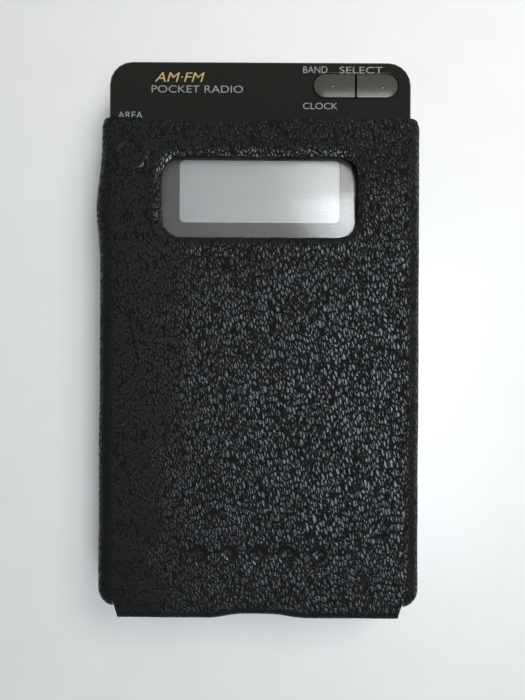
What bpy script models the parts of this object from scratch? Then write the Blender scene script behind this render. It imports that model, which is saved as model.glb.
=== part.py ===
"""Card-size pocket radio lying on its back in a leather carrying case.

Sizes are in millimetres and are turned into metres when a mesh is made. X runs to the right of the
radio's face, Y to its top edge and Z out of its face. The case's back rests on z = 0.
"""

import math

import bmesh
import bpy
from mathutils import Matrix, Vector

MM = 0.001

# Radio body
RADIO_WIDTH = 56.0
RADIO_LENGTH = 101.0
RADIO_DEPTH = 13.0
TOP_CORNER = 4.3
FOOT_CORNER = 5.0
SHELL_WALL = 1.2
REAR_SHELL_DEPTH = 6.3
FACE_EDGE = 0.8
BACK_EDGE = 1.6

# Case
CASE_LENGTH = 91.4
LEATHER = 0.9
LINING = 0.3
CASE_FRONT_EDGE = 3.0
CASE_BACK_EDGE = 1.2
CASE_CORNER = 3.5
FLAP_DROP = 1.55
FLAP_INSET = 4.4
FLAP_NOTCH = 1.25
LIP_WIDTH = 6.2
CUTOUT_WIDTH = 35.9
CUTOUT_HEIGHT = 14.8
CUTOUT_CORNER = 3.8
CUTOUT_BELOW_MOUTH = 7.0
BULGE_RISE = 1.0
BULGE_LENGTH = 15.3
BULGE_HEIGHT = 9.0

# Clearances
LAYER_GAP = 0.1
PART_GAP = 0.1
SIDE_CLEARANCE = 0.35
BACK_CLEARANCE = 0.3
FRONT_CLEARANCE = 0.7
FOOT_CLEARANCE = 0.7
SLIDING_CLEARANCE = 0.2
STITCH_MARGIN = 1.0

# Display
WINDOW_WIDTH = 39.6
WINDOW_HEIGHT = 19.4
WINDOW_THICKNESS = 0.6
WINDOW_CORNER = 1.6
WINDOW_SINK = 0.05
WINDOW_LEDGE = 0.6
WINDOW_CENTRE_BELOW_TOP = 24.0
MASK_THICKNESS = 0.35
VIEW_SIDE_MARGIN = 4.9
VIEW_END_MARGIN = 3.9
LCD_MARGIN = 1.5
LCD_THICKNESS = 1.3
HOLDER_WALL = 1.6
ZEBRA_WIDTH = 1.8
ZEBRA_MARGIN = 3.8

# Keys
KEY_PROUD = 0.4
KEY_TRAVEL = 0.3
KEY_GAP = 0.15
KEY_FLANGE = 0.4
KEY_FLANGE_THICKNESS = 0.7
KEY_EDGE = 0.25
KEY_CORNER = 0.6
ROUND_FLAT = 0.02
STEM_RADIUS = 1.0
PAIR_LEFT = 9.8
PAIR_WIDTH = 15.65
PAIR_HEIGHT = 4.5
PAIR_SPLIT = 0.4
PAIR_BELOW_TOP = 4.6
AREA_KEY_FROM_WINDOW = 3.6
AREA_KEY_BELOW_TOP = 17.8
ROUND_KEY_DIAMETER = 5.0
PRESET_COUNT = 4
PRESET_PITCH = 11.5
PRESET_WIDTH = 8.5
PRESET_HEIGHT = 4.2
PRESET_ROW_BELOW_TOP = 57.0
TUNE_ROW_BELOW_TOP = 45.0
TUNE_X = 5.75
POWER_KEY_X = 20.0

# Board and what it carries
BOARD_BELOW_FACE = 5.2
BOARD_THICKNESS = 1.0
BOARD_MARGIN = 0.6
BOARD_FOOT_BELOW_TOP = 77.4
SWITCH_SIZE = 3.4
SWITCH_HEIGHT = 0.7
KEYPAD_THICKNESS = 0.5
JACK_X = -14.0
JACK_WIDTH = 6.4
JACK_LENGTH = 11.0
JACK_HEIGHT = 4.8
JACK_BORE = 3.6
JACK_BORE_DEPTH = 9.5
ROD_DIAMETER = 7.0
ROD_LENGTH = 43.0
COIL_DIAMETER = 8.6
COIL_LENGTH = 18.0
ROD_BELOW_BOARD = 5.3

# Volume wheel
WHEEL_DIAMETER = 16.0
WHEEL_THICKNESS = 2.4
WHEEL_PROUD = 1.0
WHEEL_BELOW_TOP = 27.1
WHEEL_GROOVES = 36
WHEEL_GROOVE_DEPTH = 0.2
SPINDLE_DIAMETER = 3.0
SPINDLE_LENGTH = 1.2
POT_WIDTH = 10.0
POT_HEIGHT = 1.5

# Hold slider
SLIDER_LENGTH = 6.0
SLIDER_HEIGHT = 2.4
SLIDER_TRAVEL = 2.5
SLIDER_FLANGE = 1.2
SLIDER_BELOW_TOP = 27.1

# Battery and its door
CELL_DIAMETER = 10.5
CELL_LENGTH = 44.5
CELL_NUB_DIAMETER = 3.6
CELL_NUB_LENGTH = 1.0
CONTACT_THICKNESS = 0.5
SPRING_RADIUS = 3.2
SPRING_WIRE = 0.5
SPRING_TURNS = 4
DOOR_THICKNESS = 0.7
DOOR_SIDE_MARGIN = 3.4
DOOR_LENGTH = 13.2
DOOR_TRAVEL = 13.4
DOVETAIL = 0.5
DOOR_GRIPS = 4
GRIP_PITCH = 1.1
PARTITION_WALL = 0.8

# Screws
CASE_SCREW_X = 24.2
TOP_SCREW_BELOW_TOP = 10.1
FOOT_SCREW_BELOW_TOP = 71.0
SCREW_HEAD_DIAMETER = 2.6
SCREW_HEAD_HEIGHT = 0.9
SCREW_SHANK_DIAMETER = 1.4
SCREW_SHANK_LENGTH = 6.0
SCREW_SINK = 0.3
BOSS_DIAMETER = 3.4
COLUMN_WALL = 0.2
COLUMN_LENGTH = 2.5
BOARD_SCREW_X = 8.0
BOARD_SCREW_BELOW_TOP = 73.0
BOARD_SCREW_SHANK = 3.0
WHEEL_SCREW_SHANK = 1.8

# Levels along Y
mouth = CASE_LENGTH / 2
foot = -CASE_LENGTH / 2
side_foot = foot + FLAP_DROP
radio_foot = foot + LEATHER + FOOT_CLEARANCE
radio_top = radio_foot + RADIO_LENGTH
window_y = radio_top - WINDOW_CENTRE_BELOW_TOP
cutout_y = mouth - CUTOUT_BELOW_MOUTH - CUTOUT_HEIGHT / 2
wheel_y = radio_top - WHEEL_BELOW_TOP
slider_y = radio_top - SLIDER_BELOW_TOP
board_foot = radio_top - BOARD_FOOT_BELOW_TOP
cell_y = radio_foot + SHELL_WALL + 5 * PART_GAP + CELL_DIAMETER / 2
partition = cell_y + CELL_DIAMETER / 2 + 4 * PART_GAP
rod_y = (partition + PARTITION_WALL + board_foot) / 2

# Levels along Z
lip = LEATHER + LAYER_GAP
lining_back = lip + LEATHER + LAYER_GAP
radio_back = lining_back + LINING + BACK_CLEARANCE
radio_face = radio_back + RADIO_DEPTH
lining_front = radio_face + FRONT_CLEARANCE
leather_front = lining_front + LINING + LAYER_GAP
case_front = leather_front + LEATHER
parting = radio_back + REAR_SHELL_DEPTH
face_inside = radio_face - SHELL_WALL
back_inside = radio_back + SHELL_WALL
board_top = radio_face - BOARD_BELOW_FACE
board_under = board_top - BOARD_THICKNESS
wheel_front = board_under - POT_HEIGHT - 3 * PART_GAP
wheel_back = wheel_front - WHEEL_THICKNESS
wheel_z = (wheel_front + wheel_back) / 2
door_inside = radio_back + DOOR_THICKNESS
cell_z = door_inside + 3 * PART_GAP + CELL_DIAMETER / 2

# Levels along X
radio_side = RADIO_WIDTH / 2
shell_inside = radio_side - SHELL_WALL
lining_inside = radio_side + SIDE_CLEARANCE
leather_inside = lining_inside + LINING + LAYER_GAP
case_side = leather_inside + LEATHER
lip_inside = case_side - LIP_WIDTH
flap_side = case_side - FLAP_INSET
wheel_x = -radio_side - WHEEL_PROUD + WHEEL_DIAMETER / 2
door_width = RADIO_WIDTH - 2 * DOOR_SIDE_MARGIN
cell_end = shell_inside - 6 * CONTACT_THICKNESS
cell_start = cell_end - CELL_LENGTH

BEYOND = 10.0


# Building tools


def clear_scene():
    for obj in list(bpy.data.objects):
        bpy.data.objects.remove(obj, do_unlink=True)


def new_collection(name):
    collection = bpy.data.collections.new(name)
    bpy.context.scene.collection.children.link(collection)
    return collection


def new_material(name, colour, roughness, metallic=0.0):
    material = bpy.data.materials.new(name)
    material.use_nodes = True
    shader = material.node_tree.nodes["Principled BSDF"]
    shader.inputs["Base Color"].default_value = (*colour, 1.0)
    shader.inputs["Roughness"].default_value = roughness
    shader.inputs["Metallic"].default_value = metallic
    return material


def move_and_scale(bm, size, centre):
    bmesh.ops.scale(bm, vec=size, verts=bm.verts)
    bmesh.ops.translate(bm, vec=centre, verts=bm.verts)


def round_edges(bm, edges, radius, steps):
    if radius > 0 and edges:
        bmesh.ops.bevel(
            bm, geom=edges, offset=radius, segments=steps, profile=0.5, affect="EDGES", clamp_overlap=True
        )


def block(low, high, corners=(0, 0, 0, 0), front_edge=0.0, back_edge=0.0, steps=5):
    """A box from low to high.

    Its upright edges are rounded by corners, in the order left foot, right foot, right top, left top.
    """
    bm = bmesh.new()
    bmesh.ops.create_cube(bm, size=1.0)
    low, high = Vector(low), Vector(high)
    move_and_scale(bm, high - low, (low + high) / 2)
    places = [(low.x, low.y), (high.x, low.y), (high.x, high.y), (low.x, high.y)]
    for (x, y), radius in zip(places, corners):
        upright = [
            edge
            for edge in bm.edges
            if all(abs(v.co.x - x) < 1e-4 and abs(v.co.y - y) < 1e-4 for v in edge.verts)
        ]
        round_edges(bm, upright, radius, steps)
    for level, radius in ((high.z, front_edge), (low.z, back_edge)):
        rim = [edge for edge in bm.edges if all(abs(v.co.z - level) < 1e-4 for v in edge.verts)]
        round_edges(bm, rim, radius, steps)
    return bm


def slab(centre, size, level, thickness, corner=0.0, **edges):
    """A plate centred at (x, y), rising from a level."""
    half = (size[0] / 2, size[1] / 2)
    low = (centre[0] - half[0], centre[1] - half[1], level)
    high = (centre[0] + half[0], centre[1] + half[1], level + thickness)
    return block(low, high, (corner,) * 4, **edges)


def drum(radius, centre, length, axis="Z", sides=32):
    """A cylinder centred at a point, along an axis."""
    bm = bmesh.new()
    bmesh.ops.create_cone(
        bm, cap_ends=True, segments=sides, radius1=radius, radius2=radius, depth=length
    )
    turns = {"X": Matrix.Rotation(math.pi / 2, 3, "Y"), "Y": Matrix.Rotation(math.pi / 2, 3, "X")}
    if axis in turns:
        bmesh.ops.rotate(bm, matrix=turns[axis], verts=bm.verts)
    bmesh.ops.translate(bm, vec=centre, verts=bm.verts)
    return bm


def flare(bm, level, amount):
    """Widens a block along X at one level, for a dovetail."""
    for vert in bm.verts:
        if abs(vert.co.z - level) < 1e-4:
            vert.co.x += math.copysign(amount, vert.co.x)
    return bm


def place(bm, name, collection, origin=(0, 0, 0)):
    """Makes an object of a mesh drawn in millimetres, with its own origin."""
    origin = Vector(origin)
    bmesh.ops.translate(bm, vec=-origin, verts=bm.verts)
    bmesh.ops.scale(bm, vec=(MM, MM, MM), verts=bm.verts)
    bmesh.ops.recalc_face_normals(bm, faces=bm.faces)
    mesh = bpy.data.meshes.new(name)
    bm.to_mesh(mesh)
    bm.free()
    obj = bpy.data.objects.new(name, mesh)
    obj.location = origin * MM
    collection.objects.link(obj)
    return obj


def part(bm, name, material, parent, origin=(0, 0, 0)):
    obj = place(bm, name, parts, origin)
    obj.data.materials.append(material)
    obj.parent = parent
    return obj


def helper(bm, name):
    obj = place(bm, name, cutters)
    obj.hide_render = True
    obj.display_type = "WIRE"
    return obj


def combine(obj, bm, name, operation):
    modifier = obj.modifiers.new(name, "BOOLEAN")
    modifier.operation = operation
    modifier.solver = "EXACT"
    modifier.object = helper(bm, f"{obj.name}_{name}")


def cut(obj, bm, name):
    combine(obj, bm, name, "DIFFERENCE")


def join(obj, bm, name):
    combine(obj, bm, name, "UNION")


def turned(name, profile, centre, axis, material, parent, sides=24):
    """Turns a profile of (radius, height) points, listed from the foot of the piece to its head."""
    mesh = bpy.data.meshes.new(name)
    points = [(radius * MM, 0, height * MM) for radius, height in reversed(profile)]
    mesh.from_pydata(points, [(i, i + 1) for i in range(len(points) - 1)], [])
    obj = bpy.data.objects.new(name, mesh)
    parts.objects.link(obj)
    screw = obj.modifiers.new("turn", "SCREW")
    screw.axis = "Z"
    screw.steps = sides
    screw.render_steps = sides
    screw.use_merge_vertices = True
    screw.merge_threshold = 0.00001
    screw.use_smooth_shade = True
    obj.data.materials.append(material)
    obj.rotation_euler = {"Z": (0, 0, 0), "X": (0, math.pi / 2, 0), "Y": (-math.pi / 2, 0, 0)}[axis]
    obj.location = Vector(centre) * MM
    obj.parent = parent
    return obj


clear_scene()
parts = new_collection("pocket_radio")
cutters = new_collection("cutters")

case = bpy.data.objects.new("case", None)
radio = bpy.data.objects.new("radio", None)
for frame in (case, radio):
    frame.empty_display_size = 0.01
    parts.objects.link(frame)


# Leather case

black_leather = new_material("black_leather", (0.010, 0.011, 0.013), 0.42)
back_leather = new_material("back_leather", (0.010, 0.011, 0.013), 0.5)
fibreboard = new_material("fibreboard", (0.16, 0.13, 0.10), 0.9)
lining_cloth = new_material("lining_cloth", (0.02, 0.02, 0.022), 0.9)

wheel_room = 2 * SLIDING_CLEARANCE + PART_GAP
wheel_path_low = (
    -radio_side - WHEEL_PROUD - SLIDING_CLEARANCE,
    wheel_y - WHEEL_DIAMETER / 2,
    wheel_back - wheel_room,
)
wheel_path_high = (-radio_side, mouth + BEYOND, wheel_front + wheel_room)


def make_case_wrap():
    wrap = part(
        block(
            (-case_side, side_foot, lip),
            (case_side, mouth + BEYOND, case_front),
            (CASE_CORNER, CASE_CORNER, 0, 0),
            front_edge=CASE_FRONT_EDGE,
            back_edge=CASE_BACK_EDGE,
        ),
        "case_wrap",
        black_leather,
        case,
    )
    flap = block((-flap_side, foot, lip), (flap_side, side_foot + BEYOND, case_front))
    outer_fold = [
        edge for edge in flap.edges if all(v.co.y < foot + 1e-4 and v.co.z > lip + 1 for v in edge.verts)
    ]
    round_edges(flap, outer_fold, CASE_FRONT_EDGE / 2, 4)
    join(wrap, flap, "foot_flap")
    bulge = bmesh.new()
    bmesh.ops.create_uvsphere(bulge, u_segments=20, v_segments=12, radius=1.0)
    move_and_scale(
        bulge, (BULGE_RISE, BULGE_LENGTH / 2, BULGE_HEIGHT / 2), (-case_side, wheel_y, wheel_z)
    )
    join(wrap, bulge, "wheel_bulge")
    cut(
        wrap,
        block(
            (-case_side - BEYOND, mouth, -BEYOND),
            (case_side + BEYOND, mouth + 2 * BEYOND, case_front + BEYOND),
        ),
        "mouth",
    )
    inner_corner = CASE_CORNER - LEATHER
    cut(
        wrap,
        block(
            (-leather_inside, side_foot + LEATHER, lip + LEATHER),
            (leather_inside, mouth + BEYOND, leather_front),
            (inner_corner, inner_corner, 0, 0),
            front_edge=CASE_FRONT_EDGE - LEATHER,
            back_edge=CASE_BACK_EDGE - LEATHER,
        ),
        "pocket",
    )
    reach = flap_side + FLAP_NOTCH
    flap_pocket = block(
        (-reach, foot + LEATHER, lip - BEYOND),
        (reach, side_foot + CASE_CORNER, leather_front),
    )
    cut(wrap, flap_pocket, "flap_pocket")
    cut(
        wrap,
        block(
            (-lip_inside, foot + LEATHER, lip - BEYOND),
            (lip_inside, mouth + BEYOND, lining_back + BEYOND / 2),
        ),
        "between_lips",
    )
    cut(
        wrap,
        slab((0, cutout_y), (CUTOUT_WIDTH, CUTOUT_HEIGHT), radio_face, BEYOND, CUTOUT_CORNER),
        "display_cutout",
    )
    cut(wrap, block(wheel_path_low, wheel_path_high), "wheel_path")


def make_case_back():
    half = case_side - STITCH_MARGIN
    part(
        block(
            (-half, foot + STITCH_MARGIN / 2, 0),
            (half, mouth - STITCH_MARGIN / 2, LEATHER),
            (CASE_CORNER,) * 4,
        ),
        "case_back",
        back_leather,
        case,
    )
    inset = lip_inside - 3 * LAYER_GAP
    part(
        block(
            (-inset, foot + LEATHER + 3 * LAYER_GAP, lip),
            (inset, mouth - STITCH_MARGIN, lip + LEATHER),
        ),
        "case_stiffener",
        fibreboard,
        case,
    )


def make_case_lining():
    outside = lining_inside + LINING
    edge = CASE_FRONT_EDGE - LEATHER - LAYER_GAP
    tube_foot = side_foot + CASE_CORNER
    tube_mouth = mouth - STITCH_MARGIN
    lining = part(
        block(
            (-outside, tube_foot - BEYOND, lining_back),
            (outside, tube_mouth + BEYOND, lining_front + LINING),
            front_edge=edge,
            back_edge=LINING,
        ),
        "case_lining",
        lining_cloth,
        case,
    )
    ends = (
        (tube_foot - 2 * BEYOND, tube_foot, "foot_end"),
        (tube_mouth, tube_mouth + 2 * BEYOND, "mouth_end"),
    )
    for start, stop, name in ends:
        cut(lining, block((-outside - 1, start, lining_back - 1), (outside + 1, stop, case_front)), name)
    cut(
        lining,
        block(
            (-lining_inside, tube_foot - 3 * BEYOND, lining_back + LINING),
            (lining_inside, tube_mouth + 3 * BEYOND, lining_front),
            front_edge=edge - LINING,
        ),
        "pocket",
    )
    cutout = (CUTOUT_WIDTH + STITCH_MARGIN, CUTOUT_HEIGHT + STITCH_MARGIN)
    cut(lining, slab((0, cutout_y), cutout, radio_face, BEYOND, CUTOUT_CORNER), "display_cutout")
    cut(lining, block(wheel_path_low, wheel_path_high), "wheel_path")


make_case_wrap()
make_case_back()
make_case_lining()


# Radio's keys: where each stands, its size, and the corner radii of its cap

half_pair = (PAIR_WIDTH - PAIR_SPLIT) / 2
pair_y = radio_top - PAIR_BELOW_TOP
area_key_x = -WINDOW_WIDTH / 2 - AREA_KEY_FROM_WINDOW
tune_y = radio_top - TUNE_ROW_BELOW_TOP
preset_y = radio_top - PRESET_ROW_BELOW_TOP
pair_end = PAIR_HEIGHT / 2 - ROUND_FLAT
tune_end = PRESET_HEIGHT / 2 - ROUND_FLAT
dot_end = ROUND_KEY_DIAMETER / 2 - ROUND_FLAT
dot = (ROUND_KEY_DIAMETER, ROUND_KEY_DIAMETER)
bar = (PRESET_WIDTH, PRESET_HEIGHT)

keys = {
    "band_key": ((PAIR_LEFT + half_pair / 2, pair_y), (half_pair, PAIR_HEIGHT), (pair_end, 0, 0, pair_end)),
    "select_key": (
        (PAIR_LEFT + PAIR_WIDTH - half_pair / 2, pair_y),
        (half_pair, PAIR_HEIGHT),
        (0, pair_end, pair_end, 0),
    ),
    "area_key": ((area_key_x, radio_top - AREA_KEY_BELOW_TOP), dot, (dot_end,) * 4),
    "power_key": ((POWER_KEY_X, tune_y), dot, (dot_end,) * 4),
    "tune_down_key": ((-TUNE_X, tune_y), bar, (tune_end, KEY_CORNER, KEY_CORNER, tune_end)),
    "tune_up_key": ((TUNE_X, tune_y), bar, (KEY_CORNER, tune_end, tune_end, KEY_CORNER)),
}
for index in range(PRESET_COUNT):
    preset_x = PRESET_PITCH * (index - (PRESET_COUNT - 1) / 2)
    keys[f"preset_key_{index + 1}"] = ((preset_x, preset_y), bar, (KEY_CORNER,) * 4)

# One hole takes the pair of keys at the top. Every other key has its own.
key_holes = {"pair_hole": ((PAIR_LEFT + PAIR_WIDTH / 2, pair_y), (PAIR_WIDTH, PAIR_HEIGHT), (pair_end,) * 4)}
for name, seat in keys.items():
    if name not in ("band_key", "select_key"):
        key_holes[f"{name}_hole"] = seat


def grown(seat, margin, low, high, **edges):
    """A block over a key's seat, larger by a margin all round."""
    (x, y), (width, height), corners = seat
    half = (width / 2 + margin, height / 2 + margin)
    radii = [radius + margin if radius else 0 for radius in corners]
    return block((x - half[0], y - half[1], low), (x + half[0], y + half[1], high), radii, **edges)


# Shells of the radio

gloss_black = new_material("gloss_black", (0.013, 0.013, 0.011), 0.12)
rear_black = new_material("rear_black", (0.013, 0.013, 0.011), 0.22)
door_black = new_material("door_black", (0.014, 0.014, 0.012), 0.3)
screw_steel = new_material("screw_steel", (0.32, 0.32, 0.33), 0.35, 1.0)

outline = (FOOT_CORNER, FOOT_CORNER, TOP_CORNER, TOP_CORNER)
inner_outline = tuple(radius - SHELL_WALL for radius in outline)
screw_places = [
    (side * CASE_SCREW_X, radio_top - below)
    for side in (-1, 1)
    for below in (TOP_SCREW_BELOW_TOP, FOOT_SCREW_BELOW_TOP)
]
column_top = radio_back + SCREW_HEAD_HEIGHT + COLUMN_LENGTH
boss_foot = column_top + PART_GAP
slider_z = wheel_z
slider_rest = slider_y - SLIDER_TRAVEL / 2


def wheel_slot():
    reach = WHEEL_DIAMETER / 2 - SLIDING_CLEARANCE
    return block(
        (-radio_side - 1, wheel_y - reach, wheel_back - 2 * SLIDING_CLEARANCE),
        (-shell_inside + 1, wheel_y + reach, wheel_front + 2 * SLIDING_CLEARANCE),
    )


def slider_slot():
    half = SLIDER_HEIGHT / 2 + KEY_GAP
    reach = (SLIDER_LENGTH + SLIDER_TRAVEL) / 2 + KEY_GAP
    return block(
        (shell_inside - 0.5, slider_y - reach, slider_z - half),
        (radio_side + 1, slider_y + reach, slider_z + half),
    )


def jack_hole():
    return drum(JACK_BORE / 2, (JACK_X, radio_top, board_under - JACK_HEIGHT / 2), 3 * SHELL_WALL, "Y")


def make_front_cover():
    cover = part(
        block(
            (-radio_side, radio_foot, parting + PART_GAP),
            (radio_side, radio_top, radio_face),
            outline,
            front_edge=FACE_EDGE,
        ),
        "front_cover",
        gloss_black,
        radio,
    )
    cut(
        cover,
        block(
            (-shell_inside, radio_foot + SHELL_WALL, parting - BEYOND),
            (shell_inside, radio_top - SHELL_WALL, face_inside),
            inner_outline,
        ),
        "inside",
    )
    join(
        cover,
        block(
            (-shell_inside - SHELL_WALL / 2, partition, parting + PART_GAP),
            (shell_inside + SHELL_WALL / 2, partition + PARTITION_WALL, face_inside + SHELL_WALL / 2),
        ),
        "partition",
    )
    boss_length = face_inside + SHELL_WALL / 2 - boss_foot
    for number, (x, y) in enumerate(screw_places, 1):
        middle = boss_foot + boss_length / 2
        join(cover, drum(BOSS_DIAMETER / 2, (x, y, middle), boss_length, sides=20), f"boss_{number}")
        pilot = drum(
            SCREW_SHANK_DIAMETER / 2 + PART_GAP,
            (x, y, boss_foot),
            2 * (SCREW_SHANK_LENGTH + SCREW_HEAD_HEIGHT),
            sides=12,
        )
        cut(cover, pilot, f"pilot_{number}")
    seat_size = (WINDOW_WIDTH + 2 * PART_GAP, WINDOW_HEIGHT + 2 * PART_GAP)
    seat_floor = radio_face - WINDOW_SINK - WINDOW_THICKNESS - PART_GAP / 2
    cut(cover, slab((0, window_y), seat_size, seat_floor, BEYOND, WINDOW_CORNER), "window_seat")
    light = (WINDOW_WIDTH - 2 * WINDOW_LEDGE, WINDOW_HEIGHT - 2 * WINDOW_LEDGE)
    cut(
        cover,
        slab((0, window_y), light, face_inside - 1, BEYOND, WINDOW_CORNER - WINDOW_LEDGE),
        "window_light",
    )
    for name, seat in key_holes.items():
        cut(cover, grown(seat, KEY_GAP, face_inside - 1, radio_face + 1), name)
    cut(cover, wheel_slot(), "wheel_slot")
    cut(cover, slider_slot(), "slider_slot")
    cut(cover, jack_hole(), "jack_hole")


def door_track(low, high, level, margin):
    """A dovetail: a block whose inner face is wider than the face that shows."""
    half = door_width / 2 - DOVETAIL + margin
    top = level + DOOR_THICKNESS + margin
    return flare(block((-half, low, level), (half, high, top)), top, DOVETAIL)


door_foot = cell_y - CELL_DIAMETER / 2 - 5 * PART_GAP
door_top = door_foot + DOOR_LENGTH


def make_rear_cover():
    cover = part(
        block(
            (-radio_side, radio_foot, radio_back),
            (radio_side, radio_top, parting),
            outline,
            back_edge=BACK_EDGE,
        ),
        "rear_cover",
        rear_black,
        radio,
    )
    cut(
        cover,
        block(
            (-shell_inside, radio_foot + SHELL_WALL, back_inside),
            (shell_inside, radio_top - SHELL_WALL, parting + BEYOND),
            inner_outline,
            back_edge=SHELL_WALL / 3,
        ),
        "inside",
    )
    join(
        cover,
        block(
            (-shell_inside - SHELL_WALL / 2, partition, back_inside - SHELL_WALL / 3),
            (shell_inside + SHELL_WALL / 2, partition + PARTITION_WALL, parting),
        ),
        "partition",
    )
    for number, (x, y) in enumerate(screw_places, 1):
        start = radio_back + SHELL_WALL / 2
        middle = (start + column_top) / 2
        column = drum(BOSS_DIAMETER / 2 + COLUMN_WALL, (x, y, middle), column_top - start, sides=20)
        join(cover, column, f"column_{number}")
        bore = drum(SCREW_SHANK_DIAMETER / 2 + PART_GAP, (x, y, column_top), 2 * BEYOND, sides=12)
        cut(cover, bore, f"screw_bore_{number}")
        head = drum(
            SCREW_HEAD_DIAMETER / 2 + PART_GAP,
            (x, y, radio_back),
            2 * (SCREW_SINK + SCREW_HEAD_HEIGHT + PART_GAP),
            sides=20,
        )
        cut(cover, head, f"screw_head_{number}")
    track_top = door_top + DOOR_TRAVEL + SLIDING_CLEARANCE
    track = door_track(door_foot - SLIDING_CLEARANCE, track_top, radio_back, PART_GAP)
    for vert in track.verts:
        if abs(vert.co.z - radio_back) < 1e-4:
            vert.co.z -= PART_GAP
    cut(cover, track, "door_track")
    # The hatch lets the cell out, and stays a little narrower than the door that covers it.
    hatch = (door_width - 2 * DOVETAIL - 2 * PART_GAP, CELL_DIAMETER + 4 * PART_GAP)
    cut(cover, slab((0, cell_y), hatch, radio_back, 2 * SHELL_WALL), "battery_hatch")
    cut(cover, wheel_slot(), "wheel_slot")
    cut(cover, slider_slot(), "slider_slot")
    cut(cover, jack_hole(), "jack_hole")


def make_battery_door():
    door = part(
        door_track(door_foot, door_top, radio_back, 0),
        "battery_door",
        door_black,
        radio,
        (0, door_foot, radio_back),
    )
    for number in range(DOOR_GRIPS):
        groove_y = door_top - GRIP_PITCH * (number + 2)
        groove = slab((0, groove_y), (12.0, 0.5), radio_back - 0.5, 0.75)
        cut(door, groove, f"grip_{number + 1}")


def screw(name, x, y, level, shank=SCREW_SHANK_LENGTH):
    """A cross-head screw driven in from the back, its head's face at a level."""
    head, radius = SCREW_HEAD_DIAMETER / 2, SCREW_SHANK_DIAMETER / 2
    profile = [
        (0, 0),
        (head - 0.3, 0),
        (head, 0.25),
        (head, SCREW_HEAD_HEIGHT),
        (radius, SCREW_HEAD_HEIGHT),
        (radius, SCREW_HEAD_HEIGHT + shank - 0.5),
        (0, SCREW_HEAD_HEIGHT + shank),
    ]
    obj = turned(name, profile, (x, y, level), "Z", screw_steel, radio, sides=20)
    for arm, size in (("cross_a", (1.6, 0.4)), ("cross_b", (0.4, 1.6))):
        cut(obj, slab((x, y), size, level - 1, 1.4), arm)


make_front_cover()
make_rear_cover()
make_battery_door()
for index, (x, y) in enumerate(screw_places, 1):
    screw(f"case_screw_{index}", x, y, radio_back + SCREW_SINK)


# Display

window_clear = new_material("window_clear", (0.62, 0.64, 0.62), 0.05)
mask_grey = new_material("mask_grey", (0.17, 0.165, 0.155), 0.45)
lcd_glass = new_material("lcd_glass", (0.55, 0.58, 0.53), 0.2)
holder_black = new_material("holder_black", (0.03, 0.03, 0.03), 0.5)
zebra_rubber = new_material("zebra_rubber", (0.75, 0.70, 0.72), 0.6)


def make_display():
    window_back = radio_face - WINDOW_SINK - WINDOW_THICKNESS
    part(
        slab(
            (0, window_y),
            (WINDOW_WIDTH, WINDOW_HEIGHT),
            window_back,
            WINDOW_THICKNESS,
            WINDOW_CORNER,
            front_edge=0.1,
            steps=3,
        ),
        "display_window",
        window_clear,
        radio,
    )
    room = 2 * WINDOW_LEDGE + 4 * PART_GAP
    mask = part(
        slab(
            (0, window_y),
            (WINDOW_WIDTH - room, WINDOW_HEIGHT - room),
            window_back - PART_GAP - MASK_THICKNESS,
            MASK_THICKNESS,
            WINDOW_CORNER - WINDOW_LEDGE,
            steps=3,
        ),
        "display_mask",
        mask_grey,
        radio,
    )
    view = (WINDOW_WIDTH - 2 * VIEW_SIDE_MARGIN, WINDOW_HEIGHT - 2 * VIEW_END_MARGIN)
    cut(mask, slab((0, window_y), view, window_back - BEYOND, 2 * BEYOND, 1.0, steps=3), "view")
    lcd_front = window_back - 2 * PART_GAP - MASK_THICKNESS
    lcd = (WINDOW_WIDTH - 2 * LCD_MARGIN, WINDOW_HEIGHT - 2 * LCD_MARGIN)
    part(
        slab((0, window_y), lcd, lcd_front - LCD_THICKNESS, LCD_THICKNESS),
        "lcd_panel",
        lcd_glass,
        radio,
    )
    room = 4 * PART_GAP
    holder_height = face_inside - board_top - 2 * PART_GAP
    holder = part(
        slab(
            (0, window_y),
            (lcd[0] + room + 2 * HOLDER_WALL, lcd[1] + room + 2 * HOLDER_WALL),
            board_top + PART_GAP,
            holder_height,
            1.0,
            steps=2,
        ),
        "lcd_holder",
        holder_black,
        radio,
    )
    cut(
        holder,
        slab((0, window_y), (lcd[0] + room, lcd[1] + room), board_top - 1, holder_height + 2),
        "lcd_seat",
    )
    zebra_foot = board_top + PART_GAP
    zebra_height = lcd_front - LCD_THICKNESS - PART_GAP - zebra_foot
    reach = lcd[1] / 2 - ZEBRA_WIDTH
    for name, y in (("zebra_strip_upper", window_y + reach), ("zebra_strip_lower", window_y - reach)):
        part(
            slab((0, y), (WINDOW_WIDTH - 2 * ZEBRA_MARGIN, ZEBRA_WIDTH), zebra_foot, zebra_height),
            name,
            zebra_rubber,
            radio,
        )


make_display()


# Keys and what they press on

key_grey = new_material("key_grey", (0.078, 0.072, 0.066), 0.38)
key_rubber = new_material("key_rubber", (0.05, 0.05, 0.052), 0.6)
switch_black = new_material("switch_black", (0.03, 0.03, 0.03), 0.45)
keypad_rubber = new_material("keypad_rubber", (0.12, 0.12, 0.12), 0.7)

flange_top = face_inside - 2 * PART_GAP
stem_foot = board_top + SWITCH_HEIGHT + 2 * KEY_TRAVEL + 2 * PART_GAP


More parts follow.
